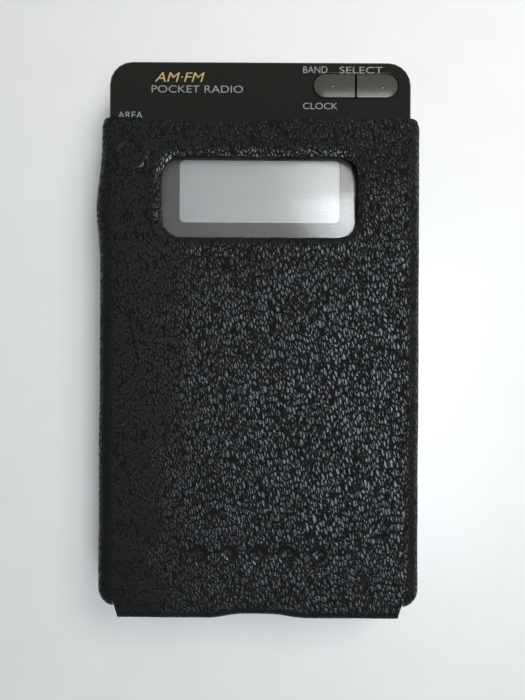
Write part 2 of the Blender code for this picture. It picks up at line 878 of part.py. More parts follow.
def make_key(name, seat, material):
    (x, y), (width, height), corners = seat
    key = part(
        grown(
            seat,
            0,
            flange_top - KEY_FLANGE_THICKNESS / 2,
            radio_face + KEY_PROUD,
            front_edge=KEY_EDGE,
            steps=5,
        ),
        name,
        material,
        radio,
        (x, y, radio_face + KEY_PROUD),
    )
    flange = grown(seat, KEY_FLANGE, flange_top - KEY_FLANGE_THICKNESS, flange_top, steps=3)
    for vert in flange.verts:
        # The pair's keys have no flange where they stand side by side.
        if not corners[0]:
            vert.co.x = max(vert.co.x, x - width / 2)
        if not corners[1]:
            vert.co.x = min(vert.co.x, x + width / 2)
    join(key, flange, "flange")
    stem_top = flange_top - KEY_FLANGE_THICKNESS / 2
    stem = drum(STEM_RADIUS, (x, y, (stem_foot + stem_top) / 2), stem_top - stem_foot, sides=16)
    join(key, stem, "stem")


def make_switch(name, x, y):
    part(
        slab((x, y), (SWITCH_SIZE, SWITCH_SIZE), board_top + PART_GAP, SWITCH_HEIGHT, 0.3, steps=2),
        name,
        switch_black,
        radio,
    )


for name, seat in keys.items():
    make_key(name, seat, key_grey if name in ("band_key", "select_key") else key_rubber)
for name in ("band_key", "select_key", "area_key"):
    (x, y), size, corners = keys[name]
    make_switch(name.replace("key", "switch"), x, y)

keypad_half = PRESET_PITCH * PRESET_COUNT / 2 + PRESET_WIDTH / 4
part(
    block(
        (-keypad_half, preset_y - PRESET_HEIGHT, board_top + PART_GAP),
        (keypad_half, tune_y + PRESET_HEIGHT, board_top + PART_GAP + KEYPAD_THICKNESS),
        (1.0,) * 4,
        steps=2,
    ),
    "keypad_sheet",
    keypad_rubber,
    radio,
)


# Board and what it carries

board_green = new_material("board_green", (0.03, 0.16, 0.07), 0.45)
chip_black = new_material("chip_black", (0.02, 0.02, 0.02), 0.5)
can_tin = new_material("can_tin", (0.62, 0.62, 0.60), 0.3, 1.0)
capacitor_sleeve = new_material("capacitor_sleeve", (0.02, 0.03, 0.09), 0.35)
jack_plastic = new_material("jack_plastic", (0.02, 0.02, 0.02), 0.4)
ferrite_grey = new_material("ferrite_grey", (0.05, 0.048, 0.05), 0.65)
coil_copper = new_material("coil_copper", (0.55, 0.23, 0.10), 0.35, 1.0)
wheel_black = new_material("wheel_black", (0.02, 0.02, 0.02), 0.45)


def make_board():
    side = shell_inside - BOARD_MARGIN
    board_head = radio_top - SHELL_WALL - BOARD_MARGIN
    board = part(
        block((-side, board_foot, board_under), (side, board_head, board_top), (0.5, 0.5, 3.0, 3.0), steps=3),
        "main_board",
        board_green,
        radio,
    )
    for number, (x, y) in enumerate(screw_places, 1):
        if y > board_foot:
            room = BOSS_DIAMETER / 2 + BOARD_MARGIN
            notch = block((x - room, y - room, board_under - 1), (x + room, y + room, board_top + 1))
            for vert in notch.verts:
                if abs(vert.co.x) > abs(x):
                    vert.co.x += math.copysign(BEYOND, x)
            cut(board, notch, f"boss_notch_{number}")
    for number, x in enumerate((-BOARD_SCREW_X, BOARD_SCREW_X), 1):
        y = radio_top - BOARD_SCREW_BELOW_TOP
        hole = drum(SCREW_SHANK_DIAMETER / 2 + PART_GAP, (x, y, board_top), 4 * BOARD_THICKNESS, sides=12)
        cut(board, hole, f"screw_hole_{number}")
        level = board_under - SCREW_HEAD_HEIGHT - PART_GAP
        screw(f"board_screw_{number}", x, y, level, BOARD_SCREW_SHANK)


def under_board(name, centre, size, material, corner=0.2):
    part(
        slab(centre, size[:2], board_under - PART_GAP - size[2], size[2], corner, back_edge=0.15, steps=2),
        name,
        material,
        radio,
    )


def capacitor(name, centre):
    profile = [(0, 0), (1.75, 0), (2.0, 0.25), (2.0, 4.0), (1.85, 4.2), (2.0, 4.4), (2.0, 5.0), (0, 5.0)]
    level = board_under - PART_GAP - 5.0
    turned(name, profile, (*centre, level), "Z", capacitor_sleeve, radio, sides=20)


make_board()
under_board("mcu_chip", (2.0, window_y + 1.0), (12.0, 12.0, 1.4), chip_black)
under_board("tuner_chip", (4.0, window_y - 18.0), (8.0, 10.0, 1.6), chip_black)
under_board("shield_can", (-12.0, window_y - 30.0), (16.0, 14.0, 3.2), can_tin, 0.6)
under_board("crystal_can", (14.5, window_y - 1.0), (3.2, 8.0, 2.8), can_tin, 1.4)
capacitor("capacitor_left", (8.0, window_y - 30.0))
capacitor("capacitor_right", (14.0, window_y - 30.0))


def make_jack():
    low = radio_top - SHELL_WALL - 2 * PART_GAP - JACK_LENGTH
    level = board_under - PART_GAP - JACK_HEIGHT
    jack = part(
        slab((JACK_X, low + JACK_LENGTH / 2), (JACK_WIDTH, JACK_LENGTH), level, JACK_HEIGHT),
        "earphone_jack",
        jack_plastic,
        radio,
    )
    mouth_of_bore = (JACK_X, low + JACK_LENGTH, board_under - JACK_HEIGHT / 2)
    cut(jack, drum(JACK_BORE / 2, mouth_of_bore, 2 * JACK_BORE_DEPTH, "Y"), "plug_bore")


def make_aerial():
    rod_z = max(board_under - ROD_BELOW_BOARD + ROD_DIAMETER / 2 + 0.8, back_inside + COIL_DIAMETER / 2 + 0.8)
    middle = (0, rod_y, rod_z)
    part(drum(ROD_DIAMETER / 2, middle, ROD_LENGTH, "X", 28), "ferrite_rod", ferrite_grey, radio)
    coil = part(
        drum(COIL_DIAMETER / 2, middle, COIL_LENGTH, "X", 28), "antenna_coil", coil_copper, radio
    )
    rod_bore = drum(ROD_DIAMETER / 2 + 2 * PART_GAP, middle, COIL_LENGTH + BEYOND, "X", 28)
    cut(coil, rod_bore, "rod_bore")


make_jack()
make_aerial()


# Volume wheel


def make_volume():
    pot = part(
        slab(
            (wheel_x, wheel_y),
            (POT_WIDTH, POT_WIDTH),
            board_under - PART_GAP - POT_HEIGHT,
            POT_HEIGHT,
            1.0,
            steps=2,
        ),
        "volume_pot",
        jack_plastic,
        radio,
    )
    spindle_bore = drum(
        SPINDLE_DIAMETER / 2 + PART_GAP,
        (wheel_x, wheel_y, board_under - POT_HEIGHT),
        2 * POT_HEIGHT - 0.6,
    )
    cut(pot, spindle_bore, "spindle_bore")
    sides = 4 * WHEEL_GROOVES
    wheel_bm = drum(WHEEL_DIAMETER / 2, (wheel_x, wheel_y, wheel_z), WHEEL_THICKNESS, sides=sides)
    for vert in wheel_bm.verts:
        arm = Vector((vert.co.x - wheel_x, vert.co.y - wheel_y))
        step = round(math.atan2(arm.y, arm.x) / (math.pi / 2 / WHEEL_GROOVES) - 0.5) % 4
        if step < 2 and arm.length > 1:
            shrink = 1 - WHEEL_GROOVE_DEPTH / (WHEEL_DIAMETER / 2)
            vert.co.x = wheel_x + arm.x * shrink
            vert.co.y = wheel_y + arm.y * shrink
    origin = (wheel_x, wheel_y, wheel_back)
    wheel = part(wheel_bm, "volume_wheel", wheel_black, radio, origin)
    spindle_length = SPINDLE_LENGTH + WHEEL_THICKNESS / 2
    spindle_middle = (wheel_x, wheel_y, wheel_z + spindle_length / 2)
    join(wheel, drum(SPINDLE_DIAMETER / 2, spindle_middle, spindle_length), "spindle")
    cut(
        wheel,
        drum(SCREW_SHANK_DIAMETER / 2 + PART_GAP, (wheel_x, wheel_y, wheel_back), 4.2, sides=16),
        "screw_hole",
    )
    level = wheel_back - PART_GAP - SCREW_HEAD_HEIGHT
    screw("wheel_screw", wheel_x, wheel_y, level, WHEEL_SCREW_SHANK)


def make_hold():
    knob_in = shell_inside - 0.6
    slider = part(
        block(
            (knob_in - SLIDER_FLANGE / 2, slider_rest - SLIDER_LENGTH / 2, slider_z - SLIDER_HEIGHT / 2),
            (radio_side - PART_GAP, slider_rest + SLIDER_LENGTH / 2, slider_z + SLIDER_HEIGHT / 2),
        ),
        "hold_slider",
        key_rubber,
        radio,
        (radio_side, slider_rest, slider_z),
    )
    flange_half = SLIDER_LENGTH / 2 + SLIDER_TRAVEL / 2 + 1.0
    rise = SLIDER_HEIGHT / 2 + 0.8
    join(
        slider,
        block(
            (knob_in - SLIDER_FLANGE, slider_rest - flange_half, slider_z - rise),
            (knob_in, slider_rest + flange_half, slider_z + rise),
        ),
        "flange",
    )
    switch_side = knob_in - SLIDER_FLANGE - SLIDING_CLEARANCE
    part(
        block(
            (switch_side - 3.0, slider_y - 5.0, slider_z - 1.4),
            (switch_side, slider_y + 5.0, board_under - PART_GAP),
        ),
        "hold_switch",
        can_tin,
        radio,
    )


make_volume()
make_hold()


# Battery and its contacts

cell_wrap = new_material("cell_wrap", (0.28, 0.29, 0.30), 0.35, 0.4)
contact_steel = new_material("contact_steel", (0.60, 0.59, 0.56), 0.28, 1.0)


def make_battery():
    radius = CELL_DIAMETER / 2
    nub = CELL_NUB_DIAMETER / 2
    body = CELL_LENGTH - CELL_NUB_LENGTH
    profile = [
        (0, 0.3),
        (radius - 1.4, 0.3),
        (radius - 1.2, 0),
        (radius - 0.4, 0),
        (radius, 0.4),
        (radius, body - 0.5),
        (radius - 0.5, body),
        (nub, body),
        (nub, CELL_LENGTH - 0.2),
        (nub - 0.2, CELL_LENGTH),
        (0, CELL_LENGTH),
    ]
    turned("battery", profile, (cell_start, cell_y, cell_z), "X", cell_wrap, radio, sides=32)
    start = cell_end + 3 * PART_GAP
    contact = part(
        block(
            (start, cell_y - 4.0, cell_z - 4.4),
            (start + CONTACT_THICKNESS, cell_y + 4.0, cell_z + 4.4),
        ),
        "battery_plus_contact",
        contact_steel,
        radio,
    )
    foot_plate = block(
        (start, cell_y - 2.0, cell_z + 3.6),
        (shell_inside - 3 * PART_GAP, cell_y + 2.0, cell_z + 4.1),
    )
    join(contact, foot_plate, "solder_tab")
    make_spring(-shell_inside + SPRING_WIRE + 2 * PART_GAP, cell_start - 3 * PART_GAP - SPRING_WIRE)


def make_spring(first, last):
    """A conical coil, widest at the shell's wall and narrowest at the cell."""
    curve = bpy.data.curves.new("battery_spring", "CURVE")
    curve.dimensions = "3D"
    curve.bevel_depth = SPRING_WIRE / 2 * MM
    curve.bevel_resolution = 1
    curve.use_fill_caps = True
    steps = 14 * SPRING_TURNS
    spline = curve.splines.new("POLY")
    spline.points.add(steps)
    for index, point in enumerate(spline.points):
        share = index / steps
        turn = 2 * math.pi * SPRING_TURNS * share
        radius = SPRING_RADIUS * (1 - 0.45 * share)
        x = first + (last - first) * share
        point.co = (x * MM, radius * math.cos(turn) * MM, radius * math.sin(turn) * MM, 1)
    obj = bpy.data.objects.new("battery_spring", curve)
    obj.location = (0, cell_y * MM, cell_z * MM)
    obj.parent = radio
    curve.materials.append(contact_steel)
    parts.objects.link(obj)


make_battery()
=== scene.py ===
import math

import bmesh
import bpy
import numpy as np
from mathutils import Matrix, Vector, noise


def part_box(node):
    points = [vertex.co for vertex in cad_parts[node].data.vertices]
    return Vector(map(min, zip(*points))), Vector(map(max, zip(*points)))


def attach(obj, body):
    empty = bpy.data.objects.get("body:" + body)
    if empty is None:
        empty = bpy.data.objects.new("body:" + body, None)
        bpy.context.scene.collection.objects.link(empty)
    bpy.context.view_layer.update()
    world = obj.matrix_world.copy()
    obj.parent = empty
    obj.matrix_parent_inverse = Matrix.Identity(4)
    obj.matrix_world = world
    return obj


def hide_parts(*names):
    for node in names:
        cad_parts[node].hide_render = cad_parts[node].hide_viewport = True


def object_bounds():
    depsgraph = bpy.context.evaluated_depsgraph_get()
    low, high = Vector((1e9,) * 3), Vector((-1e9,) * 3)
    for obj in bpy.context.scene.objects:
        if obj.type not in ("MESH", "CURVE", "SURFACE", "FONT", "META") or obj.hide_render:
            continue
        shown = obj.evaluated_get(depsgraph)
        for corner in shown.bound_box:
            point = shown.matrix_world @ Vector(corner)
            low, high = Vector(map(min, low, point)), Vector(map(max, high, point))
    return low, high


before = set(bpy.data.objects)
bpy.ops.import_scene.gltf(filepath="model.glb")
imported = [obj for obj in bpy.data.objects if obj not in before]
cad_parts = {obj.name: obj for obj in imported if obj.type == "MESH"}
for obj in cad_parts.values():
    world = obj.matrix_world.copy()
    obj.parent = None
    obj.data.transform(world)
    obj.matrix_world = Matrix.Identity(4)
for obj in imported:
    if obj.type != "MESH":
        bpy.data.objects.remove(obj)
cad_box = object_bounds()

MM = 0.001


# Table, room light and camera
# The radio lies on a plain pale table top. Wide soft lights far above and to the right show in its glossy
# finishes, a nearer one fills in without being mirrored, and the camera looks straight down, turned a
# little.


def new_material(name):
    """A material with its node tree and its Principled shader."""
    material = bpy.data.materials.new(name)
    material.use_nodes = True
    tree = material.node_tree
    return material, tree, tree.nodes["Principled BSDF"]


def add(tree, kind, inputs=None, **settings):
    """A node with its settings, its inputs given as values or as sockets to join."""
    node = tree.nodes.new(kind)
    for name, value in settings.items():
        setattr(node, name, value)
    for name, value in (inputs or {}).items():
        if isinstance(value, bpy.types.NodeSocket):
            tree.links.new(value, node.inputs[name])
        else:
            node.inputs[name].default_value = value
    return node


def ramp(tree, factor, *stops):
    """A colour ramp from (place, colour) stops."""
    node = add(tree, "ShaderNodeValToRGB", {"Fac": factor})
    elements = node.color_ramp.elements
    while len(elements) < len(stops):
        elements.new(0.5)
    for element, (place, colour) in zip(elements, stops):
        element.position = place
        element.color = (*colour, 1.0) if len(colour) == 3 else colour
    return node.outputs["Color"]


def remap(tree, value, low, high, to_low, to_high):
    """A value moved from one range to another, held inside it."""
    inputs = {"Value": value, "From Min": low, "From Max": high, "To Min": to_low, "To Max": to_high}
    return add(tree, "ShaderNodeMapRange", inputs).outputs["Result"]


def object_point(tree):
    return add(tree, "ShaderNodeTexCoord").outputs["Object"]


def noise_value(tree, scale, detail=3.0, vector=None):
    inputs = {"Vector": vector or object_point(tree), "Scale": scale, "Detail": detail}
    return add(tree, "ShaderNodeTexNoise", inputs).outputs["Fac"]


def vector_math(tree, operation, vector, other):
    """A vector worked on by another, or by a plain number where it is scaled."""
    inputs = {0: vector, "Scale" if operation == "SCALE" else 1: other}
    return add(tree, "ShaderNodeVectorMath", inputs, operation=operation).outputs[0]


def bump(tree, height, distance, strength=1.0):
    inputs = {"Height": height, "Distance": distance, "Strength": strength}
    return add(tree, "ShaderNodeBump", inputs).outputs["Normal"]


def dress(tree, shader, colour, roughness, normal=None, metallic=None):
    """Joins what changes over the surface to the shader."""
    joined = {"Base Color": colour, "Roughness": roughness, "Normal": normal, "Metallic": metallic}
    for name, socket in joined.items():
        if socket is not None:
            tree.links.new(socket, shader.inputs[name])


table_paint, tree, shader = new_material("table_paint")
table_grain = noise_value(tree, 90.0)
dress(
    tree,
    shader,
    colour=ramp(tree, table_grain, (0.3, (0.775, 0.775, 0.755)), (0.7, (0.795, 0.795, 0.78))),
    roughness=remap(tree, table_grain, 0.3, 0.7, 0.30, 0.34),
)

table_mesh = bpy.data.meshes.new("table")
table_bm = bmesh.new()
bmesh.ops.create_grid(table_bm, x_segments=4, y_segments=4, size=1.5)
table_bm.to_mesh(table_mesh)
table_bm.free()
table = bpy.data.objects.new("table", table_mesh)
table.location.z = cad_box[0].z - 0.02 * MM
table_mesh.materials.append(table_paint)
bpy.context.scene.collection.objects.link(table)

room = bpy.data.worlds.new("room")
room.use_nodes = True
tree = room.node_tree
upward = add(
    tree, "ShaderNodeSeparateXYZ", {"Vector": add(tree, "ShaderNodeTexCoord").outputs["Generated"]}
).outputs["Y"]
tree.links.new(remap(tree, upward, -0.12, 0.42, 0.03, 0.33), tree.nodes["Background"].inputs["Strength"])
tree.nodes["Background"].inputs["Color"].default_value = (1.0, 1.0, 0.90, 1.0)
bpy.context.scene.world = room


def soft_light(name, place, size, watts, colour, mirrored=True):
    """A rectangular light facing straight down. mirrored tells if glossy things show it."""
    light = bpy.data.lights.new(name, "AREA")
    light.shape = "RECTANGLE"
    light.size, light.size_y = size
    light.energy = watts
    light.color = colour
    lamp = bpy.data.objects.new(name, light)
    lamp.location = place
    lamp.visible_glossy = mirrored
    bpy.context.scene.collection.objects.link(lamp)


HIGH_UP = 0.62
WINDOW_SIDE = 0.175
soft_light("wide_light", (WINDOW_SIDE, -0.070, HIGH_UP), (0.260, 0.420), 2.45, (0.84, 0.92, 1.0))
soft_light("upper_light", (WINDOW_SIDE, 0.180, HIGH_UP), (0.260, 0.080), 0.040, (0.88, 0.94, 1.0))
soft_light("bright_light", (0.155, -0.060, 0.615), (0.090, 0.360), 0.62, (0.90, 0.95, 1.0))
soft_light("fill_light", (0.095, 0.090, 0.225), (0.110, 0.110), 0.30, (1.0, 0.955, 0.91), False)

CAMERA_HEIGHT = 107.0 * MM
CAMERA_OFFSET = (0.65 * MM, 3.45 * MM)
VIEW_LENGTH = 129.4 * MM
CAMERA_TURN = 0.3
face_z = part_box("front_cover")[1].z

camera_lens = bpy.data.cameras.new("camera")
camera_lens.sensor_width = 36.0
camera_lens.lens = 36.0 * CAMERA_HEIGHT / VIEW_LENGTH
camera_lens.clip_start = 0.005
camera = bpy.data.objects.new("camera", camera_lens)
camera.location = (*CAMERA_OFFSET, face_z + CAMERA_HEIGHT)
camera.rotation_euler.z = math.radians(CAMERA_TURN)
bpy.context.scene.collection.objects.link(camera)
bpy.context.scene.camera = camera
bpy.context.scene.view_settings.view_transform = "Standard"


# Covers of the radio
# Two shells moulded in black ABS that meet at a seam round the middle. The front one is polished to a deep
# gloss and has gathered faint wipe marks, the rear one has a fine spark texture that does not show
# fingerprints.


def smooth_copy(node, edge=0.08, angle=30):
    """The node's mesh with its facets shaded smooth, in the finish of a mould; its sharp edges are marked
    sharp when no edge is to be eased.
    """
    bm = bmesh.new()
    bm.from_mesh(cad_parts[node].data)
    bmesh.ops.remove_doubles(bm, verts=bm.verts, dist=0.0005 * MM)
    bmesh.ops.dissolve_limit(bm, angle_limit=math.radians(0.5), verts=bm.verts, edges=bm.edges)
    mesh = bpy.data.meshes.new(f"{node}_shape")
    bm.to_mesh(mesh)
    bm.free()
    for layer in [a.name for a in mesh.attributes if a.name == "custom_normal"]:
        mesh.attributes.remove(mesh.attributes[layer])
    mesh.shade_smooth()
    if not edge:
        mesh.set_sharp_from_angle(angle=math.radians(angle))
    return mesh


def new_piece(mesh, name, body, *materials):
    """A shown piece that moves with a body."""
    piece = bpy.data.objects.new(name, mesh)
    mesh.materials.clear()
    for material in materials:
        mesh.materials.append(material)
    bpy.context.scene.collection.objects.link(piece)
    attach(piece, body)
    return piece


def finish_piece(node, body, material, edge=0.08, angle=30, clamp=True):
    """The node's own shape with eased edges, standing for the node."""
    piece = new_piece(smooth_copy(node, edge, angle), f"{node}_moulding", body, material)
    if edge:
        ease = piece.modifiers.new("eased_edges", "BEVEL")
        ease.width = edge * MM
        ease.segments = 2
        ease.limit_method = "ANGLE"
        ease.angle_limit = math.radians(angle)
        ease.harden_normals = True
        ease.use_clamp_overlap = clamp
    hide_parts(node)


def new_group(name, inputs, outputs):
    """A node group with float inputs and outputs of (name, kind)."""
    group = bpy.data.node_groups.new(name, "ShaderNodeTree")
    for label, value in inputs.items():
        group.interface.new_socket(label, in_out="INPUT", socket_type="NodeSocketFloat").default_value = value
    for label in outputs:
        group.interface.new_socket(label, in_out="OUTPUT", socket_type="NodeSocketFloat")
    return group, group.nodes.new("NodeGroupInput").outputs, group.nodes.new("NodeGroupOutput").inputs


def use_group(tree, group, **values):
    node = tree.nodes.new("ShaderNodeGroup")
    node.node_tree = group
    for label, value in values.items():
        node.inputs[label.replace("_", " ")].default_value = value
    return node.outputs


def calculate(tree, operation, first, second, clamp=False):
    node = add(tree, "ShaderNodeMath", {0: first, 1: second}, operation=operation, use_clamp=clamp)
    return node.outputs["Value"]


moulded_surface, given, given_back = new_group(
    "moulded_surface", {"Texture": 6000.0, "Wipe": 260.0, "Patch": 60.0}, ("Height", "Marks", "Tone")
)
tree = moulded_surface
point = object_point(tree)
drawn_out = vector_math(tree, "MULTIPLY", point, (1.0, 9.0, 1.0))
wipes = noise_value(tree, given["Wipe"], 5.0, drawn_out)
patch = noise_value(tree, given["Patch"], 3.0, point)
tree.links.new(noise_value(tree, given["Texture"], 2.0, point), given_back["Height"])
tree.links.new(
    calculate(tree, "MULTIPLY", remap(tree, wipes, 0.45, 0.75, 0.0, 1.0), patch), given_back["Marks"]
)
tree.links.new(patch, given_back["Tone"])


def plastic(name, dark, light, roughness, depth=0.004, texture=6000.0):
    """Moulded plastic between two colours. roughness runs from clean to marked, and depth is in mm."""
    material, tree, shader = new_material(name)
    surface = use_group(tree, moulded_surface, Texture=texture)
    dress(
        tree,
        shader,
        colour=ramp(tree, surface["Tone"], (0.3, dark), (0.7, light)),
        roughness=remap(tree, surface["Marks"], 0.0, 0.6, *roughness),
        normal=bump(tree, surface["Height"], depth * MM),
    )
    return material


gloss_black = plastic("gloss_black", (0.0045, 0.0046, 0.0038), (0.0055, 0.0056, 0.0048), (0.10, 0.22), 0.0004)
satin_black = plastic("satin_black", (0.010, 0.010, 0.009), (0.014, 0.014, 0.013), (0.38, 0.5), 0.012, 5000.0)
finish_piece("front_cover", "radio", gloss_black, clamp=False)
finish_piece("rear_cover", "radio", satin_black, clamp=False)


# Display
# A clear acrylic window stuck into its seat over a grey paper-thin mask. Below it the glass of the display
# sits in a black frame on the board and is joined to it by two strips of striped rubber.

window_clear, tree, shader = new_material("window_clear")
shader.inputs["Transmission Weight"].default_value = 1.0
shader.inputs["IOR"].default_value = 1.49
wipes = use_group(tree, moulded_surface, Texture=3000.0)
dress(
    tree,
    shader,
    colour=ramp(tree, wipes["Tone"], (0.3, (0.97, 0.98, 0.97)), (0.7, (0.99, 0.99, 0.99))),
    roughness=remap(tree, wipes["Marks"], 0.1, 0.6, 0.15, 0.20),
)

mask_grey = plastic("mask_grey", (0.072, 0.070, 0.063), (0.082, 0.080, 0.072), (0.5, 0.6), 0.008, 9000.0)


def stripe_value(tree, scale, direction, distortion=0.0):
    inputs = {"Vector": object_point(tree), "Scale": scale, "Distortion": distortion}
    return add(tree, "ShaderNodeTexWave", inputs, bands_direction=direction).outputs["Fac"]


def object_axes(tree):
    return add(tree, "ShaderNodeSeparateXYZ", {"Vector": object_point(tree)}).outputs


display_glass, tree, shader = new_material("display_glass")
# Painted reflection: the display's tint is painted lighter and bluer towards its right end, where the window
# light shows in it, with a random cloud of tone.
along = object_axes(tree)["X"]
cloud = noise_value(tree, 120.0, 2.0)
place = calculate(
    tree, "ADD", remap(tree, along, -15.0 * MM, 15.0 * MM, 0.0, 1.0), calculate(tree, "MULTIPLY", cloud, 0.25)
)
lcd_tint_and_painted_reflection = ramp(
    tree, place, (0.12, (0.465, 0.465, 0.48)), (0.45, (0.485, 0.50, 0.48)), (0.8, (0.50, 0.52, 0.50)),
    (0.95, (0.50, 0.52, 0.52)),
)
tree.links.new(lcd_tint_and_painted_reflection, shader.inputs["Base Color"])
rows = stripe_value(tree, 900.0, "Y")
tree.links.new(remap(tree, rows, 0.0, 1.0, 0.24, 0.30), shader.inputs["Roughness"])

striped_rubber, tree, shader = new_material("striped_rubber")
stripes = stripe_value(tree, 1500.0, "X")
tree.links.new(
    ramp(tree, stripes, (0.45, (0.55, 0.42, 0.45)), (0.55, (0.05, 0.05, 0.05))), shader.inputs["Base Color"]
)
shader.inputs["Roughness"].default_value = 0.6

frame_black = plastic("frame_black", (0.025, 0.025, 0.025), (0.035, 0.035, 0.034), (0.45, 0.6), 0.01)
finish_piece("display_window", "radio", window_clear, 0.06)
finish_piece("display_mask", "radio", mask_grey, 0.05)
finish_piece("lcd_panel", "radio", display_glass, 0.1)
finish_piece("lcd_holder", "radio", frame_black, 0.15)
for strip in ("zebra_strip_upper", "zebra_strip_lower"):
    finish_piece(strip, "radio", striped_rubber, 0.1)


# Keys
# Each key is a crowned cap on a short stem, with a flange under the cover that keeps it in its hole. The
# pair at the top is hard grey plastic with a raised nub for the finger, the others are soft black rubber.


def key_outline(centre, size, radii, inset, low_x, high_x):
    """Points round a key in the order of the radii, drawn in by inset and held between two X values."""
    half = (size[0] / 2 - inset, size[1] / 2 - inset)
    points = []
    for corner, (sx, sy) in enumerate(((-1, -1), (1, -1), (1, 1), (-1, 1))):
        radius = min(max(radii[corner] - inset, 0.03), min(half) - 0.005)
        middle = (sx * (half[0] - radius), sy * (half[1] - radius))
        for turn in np.radians(np.linspace(180 + 90 * corner, 270 + 90 * corner, 10)):
            x = centre[0] + middle[0] + radius * math.cos(turn)
            points.append((min(max(x, low_x), high_x), centre[1] + middle[1] + radius * math.sin(turn)))
    return points


def stack(bm, rings):
    """Faces between loops of points, closed at both ends."""
    loops = [[bm.verts.new((x * MM, y * MM, z * MM)) for x, y, z in ring] for ring in rings]
    for lower, upper in zip(loops, loops[1:]):
        for i, vert in enumerate(lower):
            after = (i + 1) % len(lower)
            bm.faces.new((vert, lower[after], upper[after], upper[i]))
    bm.faces.new(reversed(loops[0]))
    bm.faces.new(loops[-1])


def mesh_of(bm, name, angle=35):
    mesh = bpy.data.meshes.new(name)
    bm.to_mesh(mesh)
    bm.free()
    mesh.shade_smooth()
    mesh.set_sharp_from_angle(angle=math.radians(angle))
    return mesh


KEY_FLANGE = 0.4
KEY_EDGE = 0.35
FLANGE_BELOW_TOP = (2.55, 1.85)
CROWN = 0.16
NUB_SIZE = (0.66, 0.38, 0.15)
key_grey = plastic("key_grey", (0.046, 0.045, 0.038), (0.054, 0.053, 0.045), (0.24, 0.34), 0.004, 7000.0)
key_rubber = plastic("key_rubber", (0.030, 0.030, 0.031), (0.038, 0.038, 0.039), (0.5, 0.62), 0.01, 7000.0)


def make_key(node, material, radii, open_side=0, nub=None):
    """open_side is -1 or 1 where a key is one half of a pair and is cut straight beside its twin."""
    low, high = (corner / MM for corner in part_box(node))
    left = low.x + (0 if open_side < 0 else KEY_FLANGE)
    right = high.x - (0 if open_side > 0 else KEY_FLANGE)
    size = ((right - left) * (2 if open_side else 1), high.y - low.y - 2 * KEY_FLANGE)
    stem_centre = ((left + right) / 2, (low.y + high.y) / 2)
    centre = ({-1: left, 0: stem_centre[0], 1: right}[open_side], stem_centre[1])
    bounds = (left if open_side < 0 else -99, right if open_side > 0 else 99)
    top = high.z - 0.02
    flange_low, flange_top = (top - below for below in FLANGE_BELOW_TOP)
    radii = [radius if radius < 9 else size[1] / 2 - 0.02 for radius in radii]
    levels = [
        (-KEY_FLANGE, flange_low),
        (-KEY_FLANGE, flange_top),
        (0, flange_top + 0.01),
        (0, top - CROWN - KEY_EDGE),
    ]
    for turn in np.radians(np.linspace(15, 90, 6)):
        levels.append((KEY_EDGE * (1 - math.cos(turn)), top - CROWN - KEY_EDGE * (1 - math.sin(turn))))
    deepest = min(size) / 2 - 0.05
    for share in np.linspace(0, 1, 8)[1:]:
        inset = KEY_EDGE + (deepest - KEY_EDGE) * share
        levels.append((inset, top - CROWN * (1 - share) ** 2))
    bm = bmesh.new()
    outlines = [(key_outline(centre, size, radii, inset, *bounds), z) for inset, z in levels]
    stack(bm, [[(x, y, z) for x, y in outline] for outline, z in outlines])
    circle = [(math.cos(a), math.sin(a)) for a in np.radians(np.arange(0, 360, 20))]
    stem = [(stem_centre[0] + x, stem_centre[1] + y) for x, y in circle]
    stack(bm, [[(x, y, z) for x, y in stem] for z in (low.z, flange_low + 0.05)])
    if nub:
        middle = (stem_centre[0] + nub[0], stem_centre[1] + nub[1])
        dome = []
        for turn in np.radians(np.linspace(-20, 80, 7)):
            width, height = NUB_SIZE[0] * math.cos(turn), NUB_SIZE[1] * math.cos(turn)
            z = top - 0.04 + NUB_SIZE[2] * math.sin(turn)
            dome.append([(middle[0] + width * x, middle[1] + height * y, z) for x, y in circle])
        stack(bm, dome)
    piece = new_piece(mesh_of(bm, f"{node}_shape", 50), f"{node}_cap", node, material)
    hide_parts(node)


ROUND = 99
make_key("band_key", key_grey, (ROUND,) * 4, 1, (-0.4, -0.1))
make_key("select_key", key_grey, (ROUND,) * 4, -1, (0.9, -0.3))
for node in ("area_key", "power_key"):
    make_key(node, key_rubber, (ROUND,) * 4)
make_key("tune_down_key", key_rubber, (ROUND, 0.6, 0.6, ROUND))
make_key("tune_up_key", key_rubber, (0.6, ROUND, ROUND, 0.6))
for number in range(1, 5):
    make_key(f"preset_key_{number}", key_rubber, (0.6,) * 4)

keypad_rubber = plastic("keypad_rubber", (0.10, 0.10, 0.10), (0.13, 0.13, 0.13), (0.6, 0.75), 0.01)
switch_black = plastic("switch_black", (0.02, 0.02, 0.02), (0.03, 0.03, 0.03), (0.4, 0.5))
finish_piece("keypad_sheet", "radio", keypad_rubber, 0.1)
for node in ("band_switch", "select_switch", "area_switch"):
    finish_piece(node, "radio", switch_black, 0.1)


# Printed legends
# Screen-printed on the face in one pass of pale grey and one of gold, so they stand up by the thickness of
# the ink.


def ink(name, dark, light):
    material, tree, shader = new_material(name)
    cover = noise_value(tree, 3500.0, 3.0)
    dress(
        tree,
        shader,
        colour=ramp(tree, cover, (0.25, dark), (0.6, light)),
        roughness=remap(tree, cover, 0.3, 0.7, 0.5, 0.36),
    )
    return material


grey_ink = ink("grey_ink", (0.13, 0.15, 0.145), (0.25, 0.275, 0.265))
gold_ink = ink("gold_ink", (0.32, 0.20, 0.07), (0.52, 0.37, 0.15))
INK_THICKNESS = 0.012
face_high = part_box("front_cover")[1] / MM


def evaluated_copy(obj, name):
    """The object's mesh with its modifiers applied."""
    graph = bpy.context.evaluated_depsgraph_get()
    mesh = bpy.data.meshes.new_from_object(obj.evaluated_get(graph))
    mesh.name = name
    return mesh


